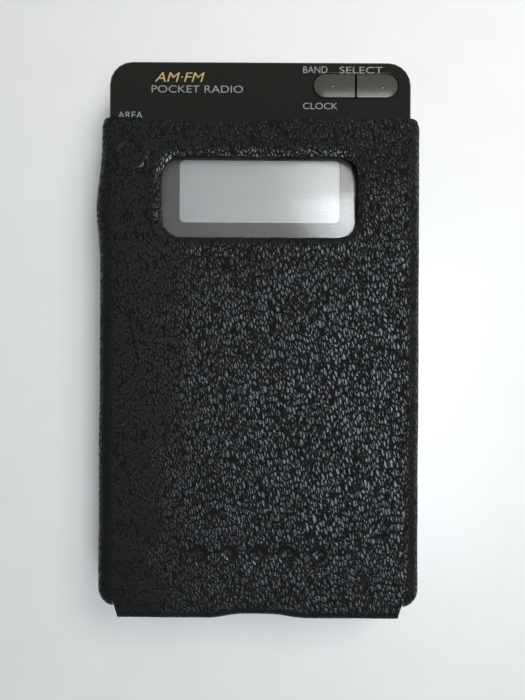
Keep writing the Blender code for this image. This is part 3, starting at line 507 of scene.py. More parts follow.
def legend(name, words, left, below_top, width, height, material, slant=0.0):
    """Words in plain capitals. below_top is from the top edge of the radio to the foot of the letters."""
    curve = bpy.data.curves.new(name, "FONT")
    curve.body = words
    curve.shear = slant
    curve.resolution_u = 4
    curve.extrude = 0.5
    writing = bpy.data.objects.new(name, curve)
    bpy.context.scene.collection.objects.link(writing)
    mesh = evaluated_copy(writing, f"{name}_shape")
    bpy.data.objects.remove(writing)
    corners = np.array([v.co for v in mesh.vertices])
    low, high = corners.min(axis=0), corners.max(axis=0)
    grow = Matrix.Diagonal(
        (width / (high[0] - low[0]) * MM, height / (high[1] - low[1]) * MM, INK_THICKNESS * MM, 1)
    )
    place = Matrix.Translation(
        (left * MM, (face_high.y - below_top) * MM, (face_high.z + INK_THICKNESS / 4) * MM)
    )
    mesh.transform(place @ grow @ Matrix.Translation((-low[0], -low[1], 0)))
    piece = new_piece(mesh, name, "radio", material)


legend("legend_bands", "AM·FM", -19.5, 3.95, 9.2, 1.75, gold_ink, 0.25)
legend("legend_type", "POCKET RADIO", -20.1, 5.95, 16.9, 1.35, grey_ink)
legend("legend_band", "BAND", 7.9, 2.2, 4.5, 1.25, grey_ink)
legend("legend_select", "SELECT", 14.6, 2.25, 8.0, 1.25, grey_ink)
legend("legend_clock", "CLOCK", 7.9, 8.9, 6.4, 1.2, grey_ink)
legend("legend_area", "AREA", -26.3, 10.75, 4.6, 1.25, grey_ink)
legend("legend_power", "POWER", 17.2, 41.6, 5.6, 1.1, grey_ink)
legend("legend_tune", "TUNE", -2.2, 41.6, 4.4, 1.1, grey_ink)
for number in range(1, 5):
    low, high = (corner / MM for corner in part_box(f"preset_key_{number}"))
    legend(f"legend_{number}", str(number), (low.x + high.x) / 2 - 0.4, 54.0, 0.8, 1.2, grey_ink)


# Volume wheel
# A knurled black wheel screwed to the spindle of its control on the board. Its rim stands out through the
# left side of the radio, where a thumb turns it.

wheel_low, wheel_high = (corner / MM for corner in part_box("volume_wheel"))
wheel_middle = (wheel_low.y + wheel_high.y) / 2
WHEEL_DISC = 2.4
WHEEL_RIDGES = 36
RIDGE_DEPTH = 0.2
wheel_black = plastic("wheel_black", (0.016, 0.016, 0.016), (0.024, 0.024, 0.023), (0.4, 0.52), 0.008)


def make_wheel():
    radius = (wheel_high.y - wheel_low.y) / 2
    centre = (wheel_low.x + radius, wheel_middle)
    back = wheel_low.z
    front = back + WHEEL_DISC
    turns = np.linspace(0, 2 * math.pi, WHEEL_RIDGES * 10, endpoint=False)
    ridge = np.clip(1.6 * np.cos(turns * WHEEL_RIDGES), -1, 1) * 0.5 - 0.5
    rings = []
    for reach, z, knurl in (
        (1.0, back + 0.35, 0), (radius - 2.2, back + 0.35, 0), (radius - 1.9, back, 0),
        (radius - 0.45, back, 0),
        (radius - 0.15, back + 0.12, 0.6), (radius, back + 0.35, 1), (radius, front - 0.35, 1),
        (radius - 0.15, front - 0.12, 0.6), (radius - 0.45, front, 0), (radius - 2.6, front, 0),
        (radius - 2.9, front - 0.3, 0), (2.4, front - 0.3, 0), (2.1, front, 0), (1.5, front, 0),
        (1.5, wheel_high.z, 0),
    ):
        reach = reach + RIDGE_DEPTH * ridge * knurl
        rings.append(
            list(zip(centre[0] + reach * np.cos(turns), centre[1] + reach * np.sin(turns), [z] * len(turns)))
        )
    bm = bmesh.new()
    stack(bm, rings)
    piece = new_piece(mesh_of(bm, "volume_wheel_shape", 40), "knurled_wheel", "volume_wheel", wheel_black)
    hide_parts("volume_wheel")


make_wheel()
finish_piece("volume_pot", "radio", switch_black, 0.1)


# Hold slider
# A small ribbed knob that slides along the right side to lock the keys.

finish_piece("hold_slider", "hold_slider", key_rubber, 0.15)
slider_low, slider_high = (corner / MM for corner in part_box("hold_slider"))
RIB_PITCH = 0.7
RIB_LENGTH = 1.8


def make_slider_ribs():
    bm = bmesh.new()
    middle = ((slider_low.y + slider_high.y) / 2, (slider_low.z + slider_high.z) / 2)
    arc = [(math.cos(a), math.sin(a)) for a in np.radians(np.linspace(-90, 90, 9))]
    for step in range(-3, 4):
        y = middle[0] + step * RIB_PITCH
        ends = (middle[1] - RIB_LENGTH / 2, middle[1] + RIB_LENGTH / 2)
        stack(bm, [[(slider_high.x - 0.12 + 0.12 * out, y + 0.2 * up, z) for out, up in arc] for z in ends])
    bmesh.ops.recalc_face_normals(bm, faces=bm.faces)
    piece = new_piece(mesh_of(bm, "slider_ribs_shape", 50), "slider_ribs", "hold_slider", key_rubber)


make_slider_ribs()


# Board and what it carries
# A green fibreglass board with soldered chips, two sleeved capacitors, tin cans over the tuner and the
# crystal, the jack and the ferrite aerial with its copper winding.

metal_surface, given, given_back = new_group(
    "metal_surface", {"Streaks": 900.0, "Spots": 500.0}, ("Streak", "Tarnish")
)
tree = metal_surface
point = object_point(tree)
drawn_out = vector_math(tree, "MULTIPLY", point, (1.0, 14.0, 6.0))
tree.links.new(noise_value(tree, given["Streaks"], 3.0, drawn_out), given_back["Streak"])
tree.links.new(noise_value(tree, given["Spots"], 4.0, point), given_back["Tarnish"])


def metal(name, clean, tarnished, roughness=(0.22, 0.4)):
    material, tree, shader = new_material(name)
    surface = use_group(tree, metal_surface)
    dress(
        tree,
        shader,
        colour=ramp(tree, surface["Tarnish"], (0.45, clean), (0.75, tarnished)),
        roughness=remap(tree, surface["Streak"], 0.3, 0.7, *roughness),
        normal=bump(tree, surface["Streak"], 0.006 * MM),
    )
    shader.inputs["Metallic"].default_value = 1.0
    return material


solder_mask, tree, shader = new_material("solder_mask")
tracks = add(
    tree,
    "ShaderNodeTexBrick",
    {"Vector": object_point(tree), "Scale": 320.0, "Mortar Size": 0.06, "Mortar Smooth": 0.1},
).outputs["Fac"]
dress(
    tree,
    shader,
    colour=ramp(tree, tracks, (0.3, (0.012, 0.085, 0.035)), (0.7, (0.03, 0.16, 0.07))),
    roughness=remap(tree, tracks, 0.0, 1.0, 0.32, 0.42),
    normal=bump(tree, tracks, 0.03 * MM),
)

ferrite, tree, shader = new_material("ferrite")
crystals = noise_value(tree, 4000.0, 5.0)
dress(
    tree,
    shader,
    colour=ramp(tree, crystals, (0.3, (0.03, 0.029, 0.03)), (0.7, (0.07, 0.067, 0.07))),
    roughness=remap(tree, crystals, 0.3, 0.7, 0.45, 0.75),
    normal=bump(tree, crystals, 0.02 * MM),
)

copper_winding, tree, shader = new_material("copper_winding")
turns = stripe_value(tree, 800.0, "X")
dress(
    tree,
    shader,
    colour=ramp(tree, turns, (0.1, (0.16, 0.05, 0.02)), (0.6, (0.62, 0.26, 0.11))),
    roughness=remap(tree, turns, 0.0, 1.0, 0.6, 0.3),
    normal=bump(tree, turns, 0.12 * MM),
)
shader.inputs["Metallic"].default_value = 1.0

bright_tin = metal("bright_tin", (0.66, 0.66, 0.64), (0.48, 0.47, 0.45))
spring_steel = metal("spring_steel", (0.62, 0.61, 0.58), (0.42, 0.40, 0.37), (0.2, 0.32))
screw_steel = metal("screw_steel", (0.30, 0.30, 0.31), (0.16, 0.16, 0.16), (0.28, 0.42))
sleeve_blue = plastic("sleeve_blue", (0.015, 0.022, 0.075), (0.022, 0.032, 0.10), (0.3, 0.42), 0.004)
package_black = plastic("package_black", (0.016, 0.016, 0.016), (0.024, 0.024, 0.024), (0.5, 0.62), 0.012)

finish_piece("main_board", "radio", solder_mask, 0.05, clamp=False)
for node in ("mcu_chip", "tuner_chip"):
    finish_piece(node, "radio", package_black, 0.12)
for node in ("shield_can", "crystal_can", "hold_switch"):
    finish_piece(node, "radio", bright_tin, 0.12)
for node in ("capacitor_left", "capacitor_right"):
    finish_piece(node, "radio", sleeve_blue, 0)
finish_piece("earphone_jack", "radio", switch_black, 0.12)
finish_piece("ferrite_rod", "radio", ferrite, 0.2)
finish_piece("antenna_coil", "radio", copper_winding, 0.1)


LEG_SECTION = ((-0.12, 0), (0.12, 0), (0.12, 0.1), (-0.12, 0.1))


def make_chip_legs():
    """Gull-wing leads along two sides of each chip."""
    for node, count, along in (("mcu_chip", 14, 1), ("tuner_chip", 10, 1)):
        low, high = (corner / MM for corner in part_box(node))
        bm = bmesh.new()
        pitch = (high.y - low.y) / (count + 1)
        for side, edge in ((-1, low.x), (1, high.x)):
            for number in range(count):
                y = low.y + pitch * (number + 1)
                route = ((0, high.z - 0.7), (0.35, high.z - 0.7), (0.6, high.z - 0.02), (1.0, high.z - 0.02))
                for (a, za), (b, zb) in zip(route, route[1:]):
                    rings = []
                    for x, z in ((edge + side * a, za), (edge + side * (b + 0.04), zb)):
                        rings.append([(x, y + across, z + up) for across, up in LEG_SECTION])
                    stack(bm, rings)
        bmesh.ops.recalc_face_normals(bm, faces=bm.faces)
        piece = new_piece(mesh_of(bm, f"{node}_legs_shape"), f"{node}_legs", "radio", bright_tin)


make_chip_legs()


# Screws
# Small cross-head screws, blackened and worn to bare steel where the driver turns them.

for node in [f"case_screw_{n}" for n in range(1, 5)] + ["board_screw_1", "board_screw_2"]:
    finish_piece(node, "radio", screw_steel, 0.05)
finish_piece("wheel_screw", "volume_wheel", screw_steel, 0.05)


# Battery and its door
# One small dry cell in a shrunk sleeve lies between a coiled spring and a flat contact. The door is a thin
# plate that slides in a dovetail track, with a few grooves for the thumb.

cell_low, cell_high = (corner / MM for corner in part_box("battery"))
cell_sleeve, tree, shader = new_material("cell_sleeve")
along = object_axes(tree)["X"]
place = remap(tree, along, cell_low.x * MM, cell_high.x * MM, 0.0, 1.0)
bands = ramp(
    tree,
    place,
    (0.0, (0.62, 0.62, 0.60)),
    (0.022, (0.62, 0.62, 0.60)),
    (0.026, (0.02, 0.02, 0.022)),
    (0.70, (0.02, 0.02, 0.022)),
    (0.705, (0.52, 0.30, 0.10)),
    (0.955, (0.52, 0.30, 0.10)),
    (0.96, (0.62, 0.62, 0.60)),
)
dress(
    tree,
    shader,
    colour=bands,
    roughness=remap(tree, noise_value(tree, 400.0), 0.3, 0.7, 0.24, 0.36),
    metallic=remap(tree, place, 0.70, 0.71, 0.35, 0.9),
)

finish_piece("battery", "radio", cell_sleeve, 0, 25)
finish_piece("battery_spring", "radio", spring_steel, 0, 60)
finish_piece("battery_plus_contact", "radio", spring_steel, 0.08)
finish_piece("battery_door", "battery_door", satin_black, 0.12)


# Lining and stiffener
# The inside of the case is glued over with thin black twill. A strip of brown fibreboard lies between the
# back panel and the lining and keeps the case flat.

twill, tree, shader = new_material("twill")
warp = stripe_value(tree, 700.0, "DIAGONAL", 0.4)
weft = stripe_value(tree, 1100.0, "Y")
weave = calculate(tree, "MULTIPLY", warp, calculate(tree, "ADD", weft, 0.4))
dress(
    tree,
    shader,
    colour=ramp(tree, weave, (0.1, (0.006, 0.006, 0.007)), (0.9, (0.028, 0.028, 0.030))),
    roughness=remap(tree, weave, 0.0, 1.0, 0.95, 0.75),
    normal=bump(tree, weave, 0.06 * MM),
)

fibreboard, tree, shader = new_material("fibreboard")
fibres = add(
    tree,
    "ShaderNodeTexNoise",
    {"Vector": object_point(tree), "Scale": 1400.0, "Detail": 5.0, "Distortion": 1.5},
).outputs["Fac"]
dress(
    tree,
    shader,
    colour=ramp(tree, fibres, (0.3, (0.11, 0.085, 0.06)), (0.7, (0.22, 0.17, 0.12))),
    roughness=remap(tree, fibres, 0.3, 0.7, 0.8, 0.95),
    normal=bump(tree, fibres, 0.08 * MM),
)

finish_piece("case_lining", "case", twill, 0)
finish_piece("case_stiffener", "case", fibreboard, 0.1)


# Leather of the case
# Black leather printed with a fine pebble that is drawn out along the case. The finish is a thin semi-gloss
# coat, so the tops of the pebbles shine and the creases between them stay dark. The colour adds a painted
# highlight, lighter blue-grey on the pebble tops, and painted shade, near black in the creases.


leather_grain, given, given_back = new_group(
    "leather_grain", {"Pebbles": 1500.0, "Stretch": 0.38, "Lean": -0.2, "Wander": 0.9}, ("Height", "Crease")
)
tree = leather_grain
point = object_point(tree)
leaned = add(
    tree, "ShaderNodeVectorRotate", {"Vector": point, "Angle": given["Lean"]}, rotation_type="Z_AXIS"
)
drawn = add(tree, "ShaderNodeCombineXYZ", {"X": 1.0, "Y": given["Stretch"], "Z": 1.0})
stretched = vector_math(tree, "MULTIPLY", leaned.outputs[0], drawn.outputs[0])
scaled = vector_math(tree, "SCALE", stretched, given["Pebbles"])
wander = add(tree, "ShaderNodeTexNoise", {"Vector": scaled, "Scale": 0.55, "Detail": 2.0})
centred = vector_math(tree, "SUBTRACT", wander.outputs["Color"], (0.5, 0.5, 0.5))
moved = vector_math(tree, "ADD", scaled, vector_math(tree, "SCALE", centred, given["Wander"]))
edges, small = (
    add(
        tree, "ShaderNodeTexVoronoi", {"Vector": moved, "Scale": scale}, feature="DISTANCE_TO_EDGE"
    ).outputs["Distance"]
    for scale in (1.0, 2.3)
)
pebble = add(
    tree,
    "ShaderNodeMapRange",
    {"Value": edges, "From Min": 0.0, "From Max": 0.26},
    interpolation_type="SMOOTHSTEP",
).outputs["Result"]
wrinkle = remap(tree, small, 0.0, 0.3, 0.0, 1.0)
hair = noise_value(tree, 5.0, 2.0, scaled)
swell = noise_value(tree, 0.4, 1.0, scaled)
rounded = calculate(tree, "MULTIPLY", pebble, calculate(tree, "ADD", swell, 0.45))
with_wrinkles = calculate(tree, "ADD", rounded, calculate(tree, "MULTIPLY", wrinkle, 0.28))
height = calculate(tree, "ADD", with_wrinkles, calculate(tree, "MULTIPLY", hair, 0.12))
tree.links.new(height, given_back["Height"])
tree.links.new(calculate(tree, "SUBTRACT", 1.0, pebble, True), given_back["Crease"])


GRAIN_DEPTH = 0.048


def lozenge_row(tree, pitch, count, size, middle_y):
    """A mask of 1 on a row of lozenges centred on X 0, all in metres, and 0 round them."""
    place = object_axes(tree)
    shifted = calculate(tree, "ADD", place["X"], pitch * count / 2)
    from_gap = calculate(tree, "PINGPONG", shifted, pitch / 2)
    across = calculate(tree, "DIVIDE", calculate(tree, "SUBTRACT", pitch / 2, from_gap), size[0] / 2)
    up = calculate(tree, "ABSOLUTE", calculate(tree, "SUBTRACT", place["Y"], middle_y), 0.0)
    reach = calculate(tree, "ADD", across, calculate(tree, "DIVIDE", up, size[1] / 2))
    in_row = calculate(tree, "LESS_THAN", calculate(tree, "ABSOLUTE", place["X"], 0.0), pitch * count / 2)
    return calculate(tree, "MULTIPLY", remap(tree, reach, 0.85, 1.05, 1.0, 0.0), in_row)


def leather(name, pebbles, worn_left, pressed_row=None):
    """Grained black leather. worn_left is where, along X, the grain comes in from the rubbed-smooth left
    side, and pressed_row gives the lozenges where a hot die has flattened it."""
    material, tree, shader = new_material(name)
    grain = use_group(tree, leather_grain, Pebbles=pebbles)
    across = object_axes(tree)["X"]
    patch = remap(tree, noise_value(tree, 160.0), 0.3, 0.7, -4.0 * MM, 4.0 * MM)
    place = calculate(tree, "ADD", across, patch)
    from_left = remap(tree, place, worn_left, worn_left + 9.0 * MM, 0.12, 1.0)
    fresh = calculate(tree, "MULTIPLY", from_left, remap(tree, place, 26.0 * MM, 29.0 * MM, 1.0, 0.35))
    if pressed_row:
        flattened = remap(tree, lozenge_row(tree, *pressed_row), 0.0, 1.0, 1.0, 0.15)
        fresh = calculate(tree, "MULTIPLY", fresh, flattened)
    mottle = noise_value(tree, 900.0)
    # Painted highlight and shade: pebble tops are painted a lighter blue-grey and creases near black, mixed
    # with a random mottle of tone.
    painted_crease_shade_and_mottle = calculate(
        tree,
        "ADD",
        calculate(tree, "MULTIPLY", grain["Crease"], 0.6),
        calculate(tree, "MULTIPLY", mottle, 0.4),
    )
    polish = calculate(
        tree,
        "ADD",
        remap(tree, grain["Crease"], 0.0, 0.8, 0.21, 1.0),
        remap(tree, fresh, 0.12, 1.0, 0.03, 0.0),
    )
    dress(
        tree,
        shader,
        colour=ramp(tree, painted_crease_shade_and_mottle, (0.15, (0.0070, 0.0078, 0.0088)), (0.6, (0.0008, 0.0008, 0.0008))),
        roughness=calculate(tree, "ADD", polish, remap(tree, mottle, 0.3, 0.7, -0.04, 0.05)),
        normal=bump(tree, calculate(tree, "MULTIPLY", grain["Height"], fresh), GRAIN_DEPTH * MM),
    )
    return material


edge_paint, tree, shader = new_material("edge_paint")
fibres = noise_value(tree, 2600.0, 4.0)
dress(
    tree,
    shader,
    colour=ramp(tree, fibres, (0.3, (0.004, 0.004, 0.004)), (0.75, (0.020, 0.019, 0.018))),
    roughness=remap(tree, fibres, 0.3, 0.7, 0.28, 0.5),
    normal=bump(tree, fibres, 0.05 * MM, 0.6),
)

raw_edge, tree, shader = new_material("raw_edge")
fibres = noise_value(tree, 3200.0, 6.0)
# Pale patches on the cut wall are partly scuffed fibres and partly a painted highlight for the lit edge of
# the cut.
scuffs_and_painted_glint = calculate(tree, "MULTIPLY", fibres, remap(tree, noise_value(tree, 420.0, 2.0), 0.46, 0.60, 0.9, 1.7))
tree.links.new(
    ramp(
        tree,
        scuffs_and_painted_glint,
        (0.35, (0.003, 0.003, 0.0025)),
        (0.62, (0.012, 0.012, 0.011)),
        (1.0, (0.11, 0.115, 0.11)),
    ),
    shader.inputs["Base Color"],
)
shader.inputs["Roughness"].default_value = 0.85
tree.links.new(bump(tree, fibres, 0.12 * MM, 0.9), shader.inputs["Normal"])


# Back panel
# A flat panel of the same leather. Its edge is rounded over and painted, and it is sewn to the turned-in
# lips with waxed black thread that lies in a scored groove.

back_low, back_high = (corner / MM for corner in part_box("case_back"))
BACK_CORNER = 3.5
GROOVE_INSET = 2.1
STITCH_PITCH = 2.5
STITCH_LENGTH = 1.9
STITCH_WIDTH = 0.42

waxed_thread, tree, shader = new_material("waxed_thread")
twist = stripe_value(tree, 1300.0, "DIAGONAL")
dress(
    tree,
    shader,
    colour=ramp(tree, twist, (0.1, (0.012, 0.012, 0.012)), (0.8, (0.045, 0.045, 0.046))),
    roughness=remap(tree, twist, 0.0, 1.0, 0.6, 0.4),
    normal=bump(tree, twist, 0.06 * MM),
)


def back_outline(inset):
    """Points round the back panel, drawn in by an inset."""
    radius = max(BACK_CORNER - inset, 0.4)
    low, high = back_low.xy, back_high.xy
    points = []
    for corner, (x, y) in enumerate(((high.x, high.y), (low.x, high.y), (low.x, low.y), (high.x, low.y))):
        sx, sy = math.copysign(1, x), math.copysign(1, y)
        middle = (x - sx * (inset + radius), y - sy * (inset + radius))
        for turn in np.radians(np.linspace(90 * corner, 90 * corner + 90, 14)):
            points.append((middle[0] + radius * math.cos(turn), middle[1] + radius * math.sin(turn)))
    return points


def make_back():
    levels = [(1.2, back_high.z), (0.25, back_high.z)]
    levels += [
        (0.3 * (1 - math.cos(a)), back_low.z + 0.35 + 0.35 * math.sin(-a))
        for a in np.radians(np.linspace(0, 90, 7))
    ]
    for share in np.linspace(-1, 1, 9):
        levels.append((GROOVE_INSET + 0.45 * share, back_low.z + 0.2 * (1 - share * share)))
    levels.append((GROOVE_INSET + 4.0, back_low.z))
    bm = bmesh.new()
    stack(bm, [[(x, y, z) for x, y in back_outline(inset)] for inset, z in levels])
    bmesh.ops.recalc_face_normals(bm, faces=bm.faces)
    for face in bm.faces:
        face.material_index = int(len(face.verts) == 4 and all(v.co.z > 0.04 * MM for v in face.verts))
    piece = new_piece(mesh_of(bm, "case_back_shape", 60), "back_panel", "case", back_grain, edge_paint)
    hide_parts("case_back")


def make_stitches():
    path = back_outline(GROOVE_INSET)
    path = path[14:] + path[:14]
    route = [Vector(point) for point in path if point[1] < back_high.y - GROOVE_INSET - 0.5]
    route.sort(key=lambda point: math.atan2(point.x, -point.y))
    travelled = [0.0]
    for start, end in zip(route, route[1:]):
        travelled.append(travelled[-1] + (end - start).length)
    count = int(travelled[-1] / STITCH_PITCH)
    bm = bmesh.new()
    for number in range(count):
        reach = (number + 0.5) * travelled[-1] / count
        after = next(i for i, length in enumerate(travelled) if length >= reach)
        way = (route[after] - route[after - 1]).normalized()
        place = route[after - 1] + way * (reach - travelled[after - 1])
        across = Vector((-way.y, way.x))
        rings = []
        for turn in np.radians(np.linspace(-80, 80, 9)):
            along, swell = math.sin(turn) * STITCH_LENGTH / 2, max(math.cos(turn), 0.2) ** 0.5
            ring = []
            for angle in np.radians(np.arange(0, 360, 45)):
                point = place + way * along + across * (math.cos(angle) * STITCH_WIDTH / 2 * swell)
                ring.append((point.x, point.y, back_low.z + 0.19 + math.sin(angle) * 0.17 * swell))
            rings.append(ring)
        stack(bm, rings)
    bmesh.ops.recalc_face_normals(bm, faces=bm.faces)
    piece = new_piece(mesh_of(bm, "back_stitches_shape", 60), "back_stitches", "case", waxed_thread)


back_grain = leather("back_grain", 1350.0, -80.0 * MM)
make_back()
make_stitches()


# Case wrap
# One piece of leather makes the front, both side walls, the lips turned in under them and the flap folded
# over the foot. It is worked in millimetres as rows of points from the mouth to the foot, each row running
# from the left lip over the front to the right lip.

wrap_low, wrap_high = (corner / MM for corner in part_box("case_wrap"))
case_side, mouth, wrap_front = wrap_high
foot, wrap_back = wrap_low.y, wrap_low.z

WRAP_LEATHER = 0.9
FRONT_FOLD = 3.0
BACK_FOLD = 1.2
FOOT_CORNER = 3.5
FLAP_DROP = 1.55
FLAP_SIDE = (26.7, 25.6, 25.2)
LIP = 5.0
ROW_STEP = 0.32
COLUMN_STEP = 0.32


def smoothstep(low, high, value):
    share = np.clip((value - low) / (high - low), 0.0, 1.0)
    return share * share * (3 - 2 * share)


def section_of_wall():
    """(inset from the outer side, height) from the front down the wall and in under the lip."""
    turn = np.radians(np.linspace(0, 90, 10)[1:])
    front = [(FRONT_FOLD * (1 - math.sin(a)), wrap_front - FRONT_FOLD * (1 - math.cos(a))) for a in turn]
    fall = np.linspace(wrap_front - FRONT_FOLD, wrap_back + BACK_FOLD, 24)[1:]
    wall = [(0.0, z) for z in fall]
    turn = np.radians(np.linspace(0, 90, 6)[1:])
    back = [(BACK_FOLD * (1 - math.cos(a)), wrap_back + BACK_FOLD * (1 - math.sin(a))) for a in turn]
    return front + wall + back


def wrap_grid():
    """Points of the wrap's outer face as rows by columns, with NaN where there is no leather."""
    bend = foot + FLAP_DROP + FOOT_CORNER
    straight = np.linspace(mouth, bend, int((mouth - bend) / ROW_STEP))
    turns = np.radians(np.linspace(0, 78, 12)[1:])
    plan = [((case_side, y), (1.0, 0.0)) for y in straight]
    for turn in turns:
        way = (math.cos(turn), -math.sin(turn))
        plan.append(((case_side - FOOT_CORNER + FOOT_CORNER * way[0], bend + FOOT_CORNER * way[1]), way))
    fractions = np.linspace(-1, 1, int(2 * (case_side - FRONT_FOLD) / COLUMN_STEP))
    wall = section_of_wall()
    rows = []
    for (x, y), (nx, ny) in plan:
        edge = (x - FRONT_FOLD * nx, y - FRONT_FOLD * ny)
        lip_width = 0.6 + (LIP - 0.6) * float(smoothstep(bend - 1, bend + 5, np.array(y)))
        lip = [(BACK_FOLD + lip_width * share, wrap_back) for share in (0.33, 0.66, 1.0)]
        side = [(x - nx * inset, y - ny * inset, z) for inset, z in wall + lip]
        front = [(edge[0] * share, edge[1], wrap_front) for share in fractions]
        rows.append([(-px, py, pz) for px, py, pz in reversed(side)] + front + side)
    fold = FRONT_FOLD / 2
    start = rows[-1][len(side)][1]
    flat = np.linspace(start, foot + fold, 11)[1:]
    tongue = [(y, wrap_front) for y in flat]
    for turn in np.radians(np.linspace(0, 90, 7)[1:]):
        tongue.append((foot + fold * (1 - math.sin(turn)), wrap_front - fold * (1 - math.cos(turn))))
    tongue += [(foot, z) for z in np.linspace(wrap_front - fold, wrap_back, 22)[1:]]
    blank = [(math.nan,) * 3] * len(side)
    for index, (y, z) in enumerate(tongue):
        half = np.interp(index, (-1, len(flat), len(tongue)), FLAP_SIDE)
        rows.append(blank + [(half * share, y, z) for share in fractions] + blank)
    return np.array(rows)


def shape_wrap(points):
    """The folds and slumps that use has given the leather."""
    x, y, z = points[..., 0], points[..., 1], points[..., 2]
    up_the_wall = smoothstep(0.8, 5.0, z) * (1 - 0.5 * smoothstep(13.5, wrap_front, z))
    bulge = 0.8 * np.exp(-(((y - wheel_middle) / 5.6) ** 2)) * up_the_wall
    x -= np.where(x < 0, (-wrap_low.x - case_side) * bulge * smoothstep(20, 29, -x), 0)
    near_mouth = smoothstep(mouth - 9.0, mouth, y)
    on_front = smoothstep(wrap_front - 2.5, wrap_front, z)
    y -= near_mouth * on_front * 1.0 * np.exp(-(((x + 7.0) / 12.0) ** 2))
    y -= near_mouth * on_front * 0.35 * np.exp(-(((x - 20.0) / 5.0) ** 2))
    lean = smoothstep(mouth - 1.6, mouth, y) ** 2
    x -= np.sign(x) * lean * 0.35 * smoothstep(24, 29, np.abs(x))
    x += np.where(x < 0, 0.3, 0) * smoothstep(28, 42, y) * smoothstep(20, 29, -x)
    low_end = smoothstep(foot + 6.0, foot + 0.5, y)
    y += low_end * 0.75 * np.exp(-(((x + 0.3) / 6.2) ** 4))
    return points


def rounded_distance(x, y, centre, size, corner):
    """Distance outside a rounded rectangle's outline, negative inside it."""
    qx = np.abs(x - centre[0]) - (size[0] / 2 - corner)
    qy = np.abs(y - centre[1]) - (size[1] / 2 - corner)
    return np.hypot(np.maximum(qx, 0), np.maximum(qy, 0)) + np.minimum(np.maximum(qx, qy), 0) - corner


CUTOUT_SIZE = (35.9, 14.8)
CUTOUT_CORNER = 3.8
CUTOUT_BELOW_MOUTH = 7.0
cutout_centre = (0.0, mouth - CUTOUT_BELOW_MOUTH - CUTOUT_SIZE[1] / 2)
area_low, area_high = (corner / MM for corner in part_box("area_key"))
area_centre = ((area_low.x + area_high.x) / 2, (area_low.y + area_high.y) / 2)
MARK_ABOVE_FOOT = 12.0
MARK_PITCH = 5.4
MARK_COUNT = 5
MARK_SIZE = (3.8, 3.5)
pressed_marks = (
    MARK_PITCH * MM, MARK_COUNT, (MARK_SIZE[0] * MM, MARK_SIZE[1] * MM), (foot + MARK_ABOVE_FOOT) * MM
)
grained_leather = leather("grained_leather", 2050.0, -20.0 * MM, pressed_marks)


PRESSED_ROUND_CUTOUT = 0.28
KEY_RING_HEIGHT = 0.16
MARK_DEPTH = 0.38


def relief(points):
    """How far each point stands proud of the plain leather, in millimetres."""
    x, y, z = points[:, 0], points[:, 1], points[:, 2]
    slow = np.array([noise.noise(Vector(p) * 0.11) for p in points])
    quick = np.array(
        [noise.noise(Vector((p[0] * 0.9, p[1] * 0.45, p[2] * 0.9)) + Vector((7, 3, 1))) for p in points]
    )
    rise = 0.10 * slow + 0.012 * quick * smoothstep(-24, -17, x)
    on_front = z > wrap_front - 0.5
    from_cutout = rounded_distance(x, y, cutout_centre, CUTOUT_SIZE, CUTOUT_CORNER)
    rise -= np.where(on_front, PRESSED_ROUND_CUTOUT * (1 - smoothstep(-0.1, 0.9, from_cutout)), 0)
    rise += np.where(on_front, 0.10 * np.exp(-(((from_cutout - 1.6) / 0.9) ** 2)), 0)
    from_key = np.hypot(x - area_centre[0], y - area_centre[1])
    ring = KEY_RING_HEIGHT * np.exp(-(((from_key - 2.7) / 0.42) ** 2)) + 0.07 * smoothstep(3.4, 2.2, from_key)
    rise += np.where(on_front, ring, 0)
    row = (x / MARK_PITCH + MARK_COUNT / 2) % 1 - 0.5
    mark = np.abs(row * MARK_PITCH) / MARK_SIZE[0] * 2 + np.abs(y - foot - MARK_ABOVE_FOOT) / MARK_SIZE[1] * 2
    in_row = np.abs(x) < MARK_PITCH * MARK_COUNT / 2
    rise -= np.where(on_front & in_row, MARK_DEPTH * (1 - smoothstep(0.80, 1.0, mark)), 0)
    return rise


def grid_mesh(name, grid):
    """A mesh of the cells whose four corners exist."""
    rows, columns = grid.shape[:2]
    there = ~np.isnan(grid[..., 0])
    index = np.full((rows, columns), -1)
    index[there] = np.arange(there.sum())
    quads = np.stack([index[:-1, :-1], index[1:, :-1], index[1:, 1:], index[:-1, 1:]], axis=-1).reshape(-1, 4)
    quads = quads[(quads >= 0).all(axis=1)]
    mesh = bpy.data.meshes.new(name)
    mesh.from_pydata((grid[there] * MM).tolist(), [], quads.tolist())
    return mesh


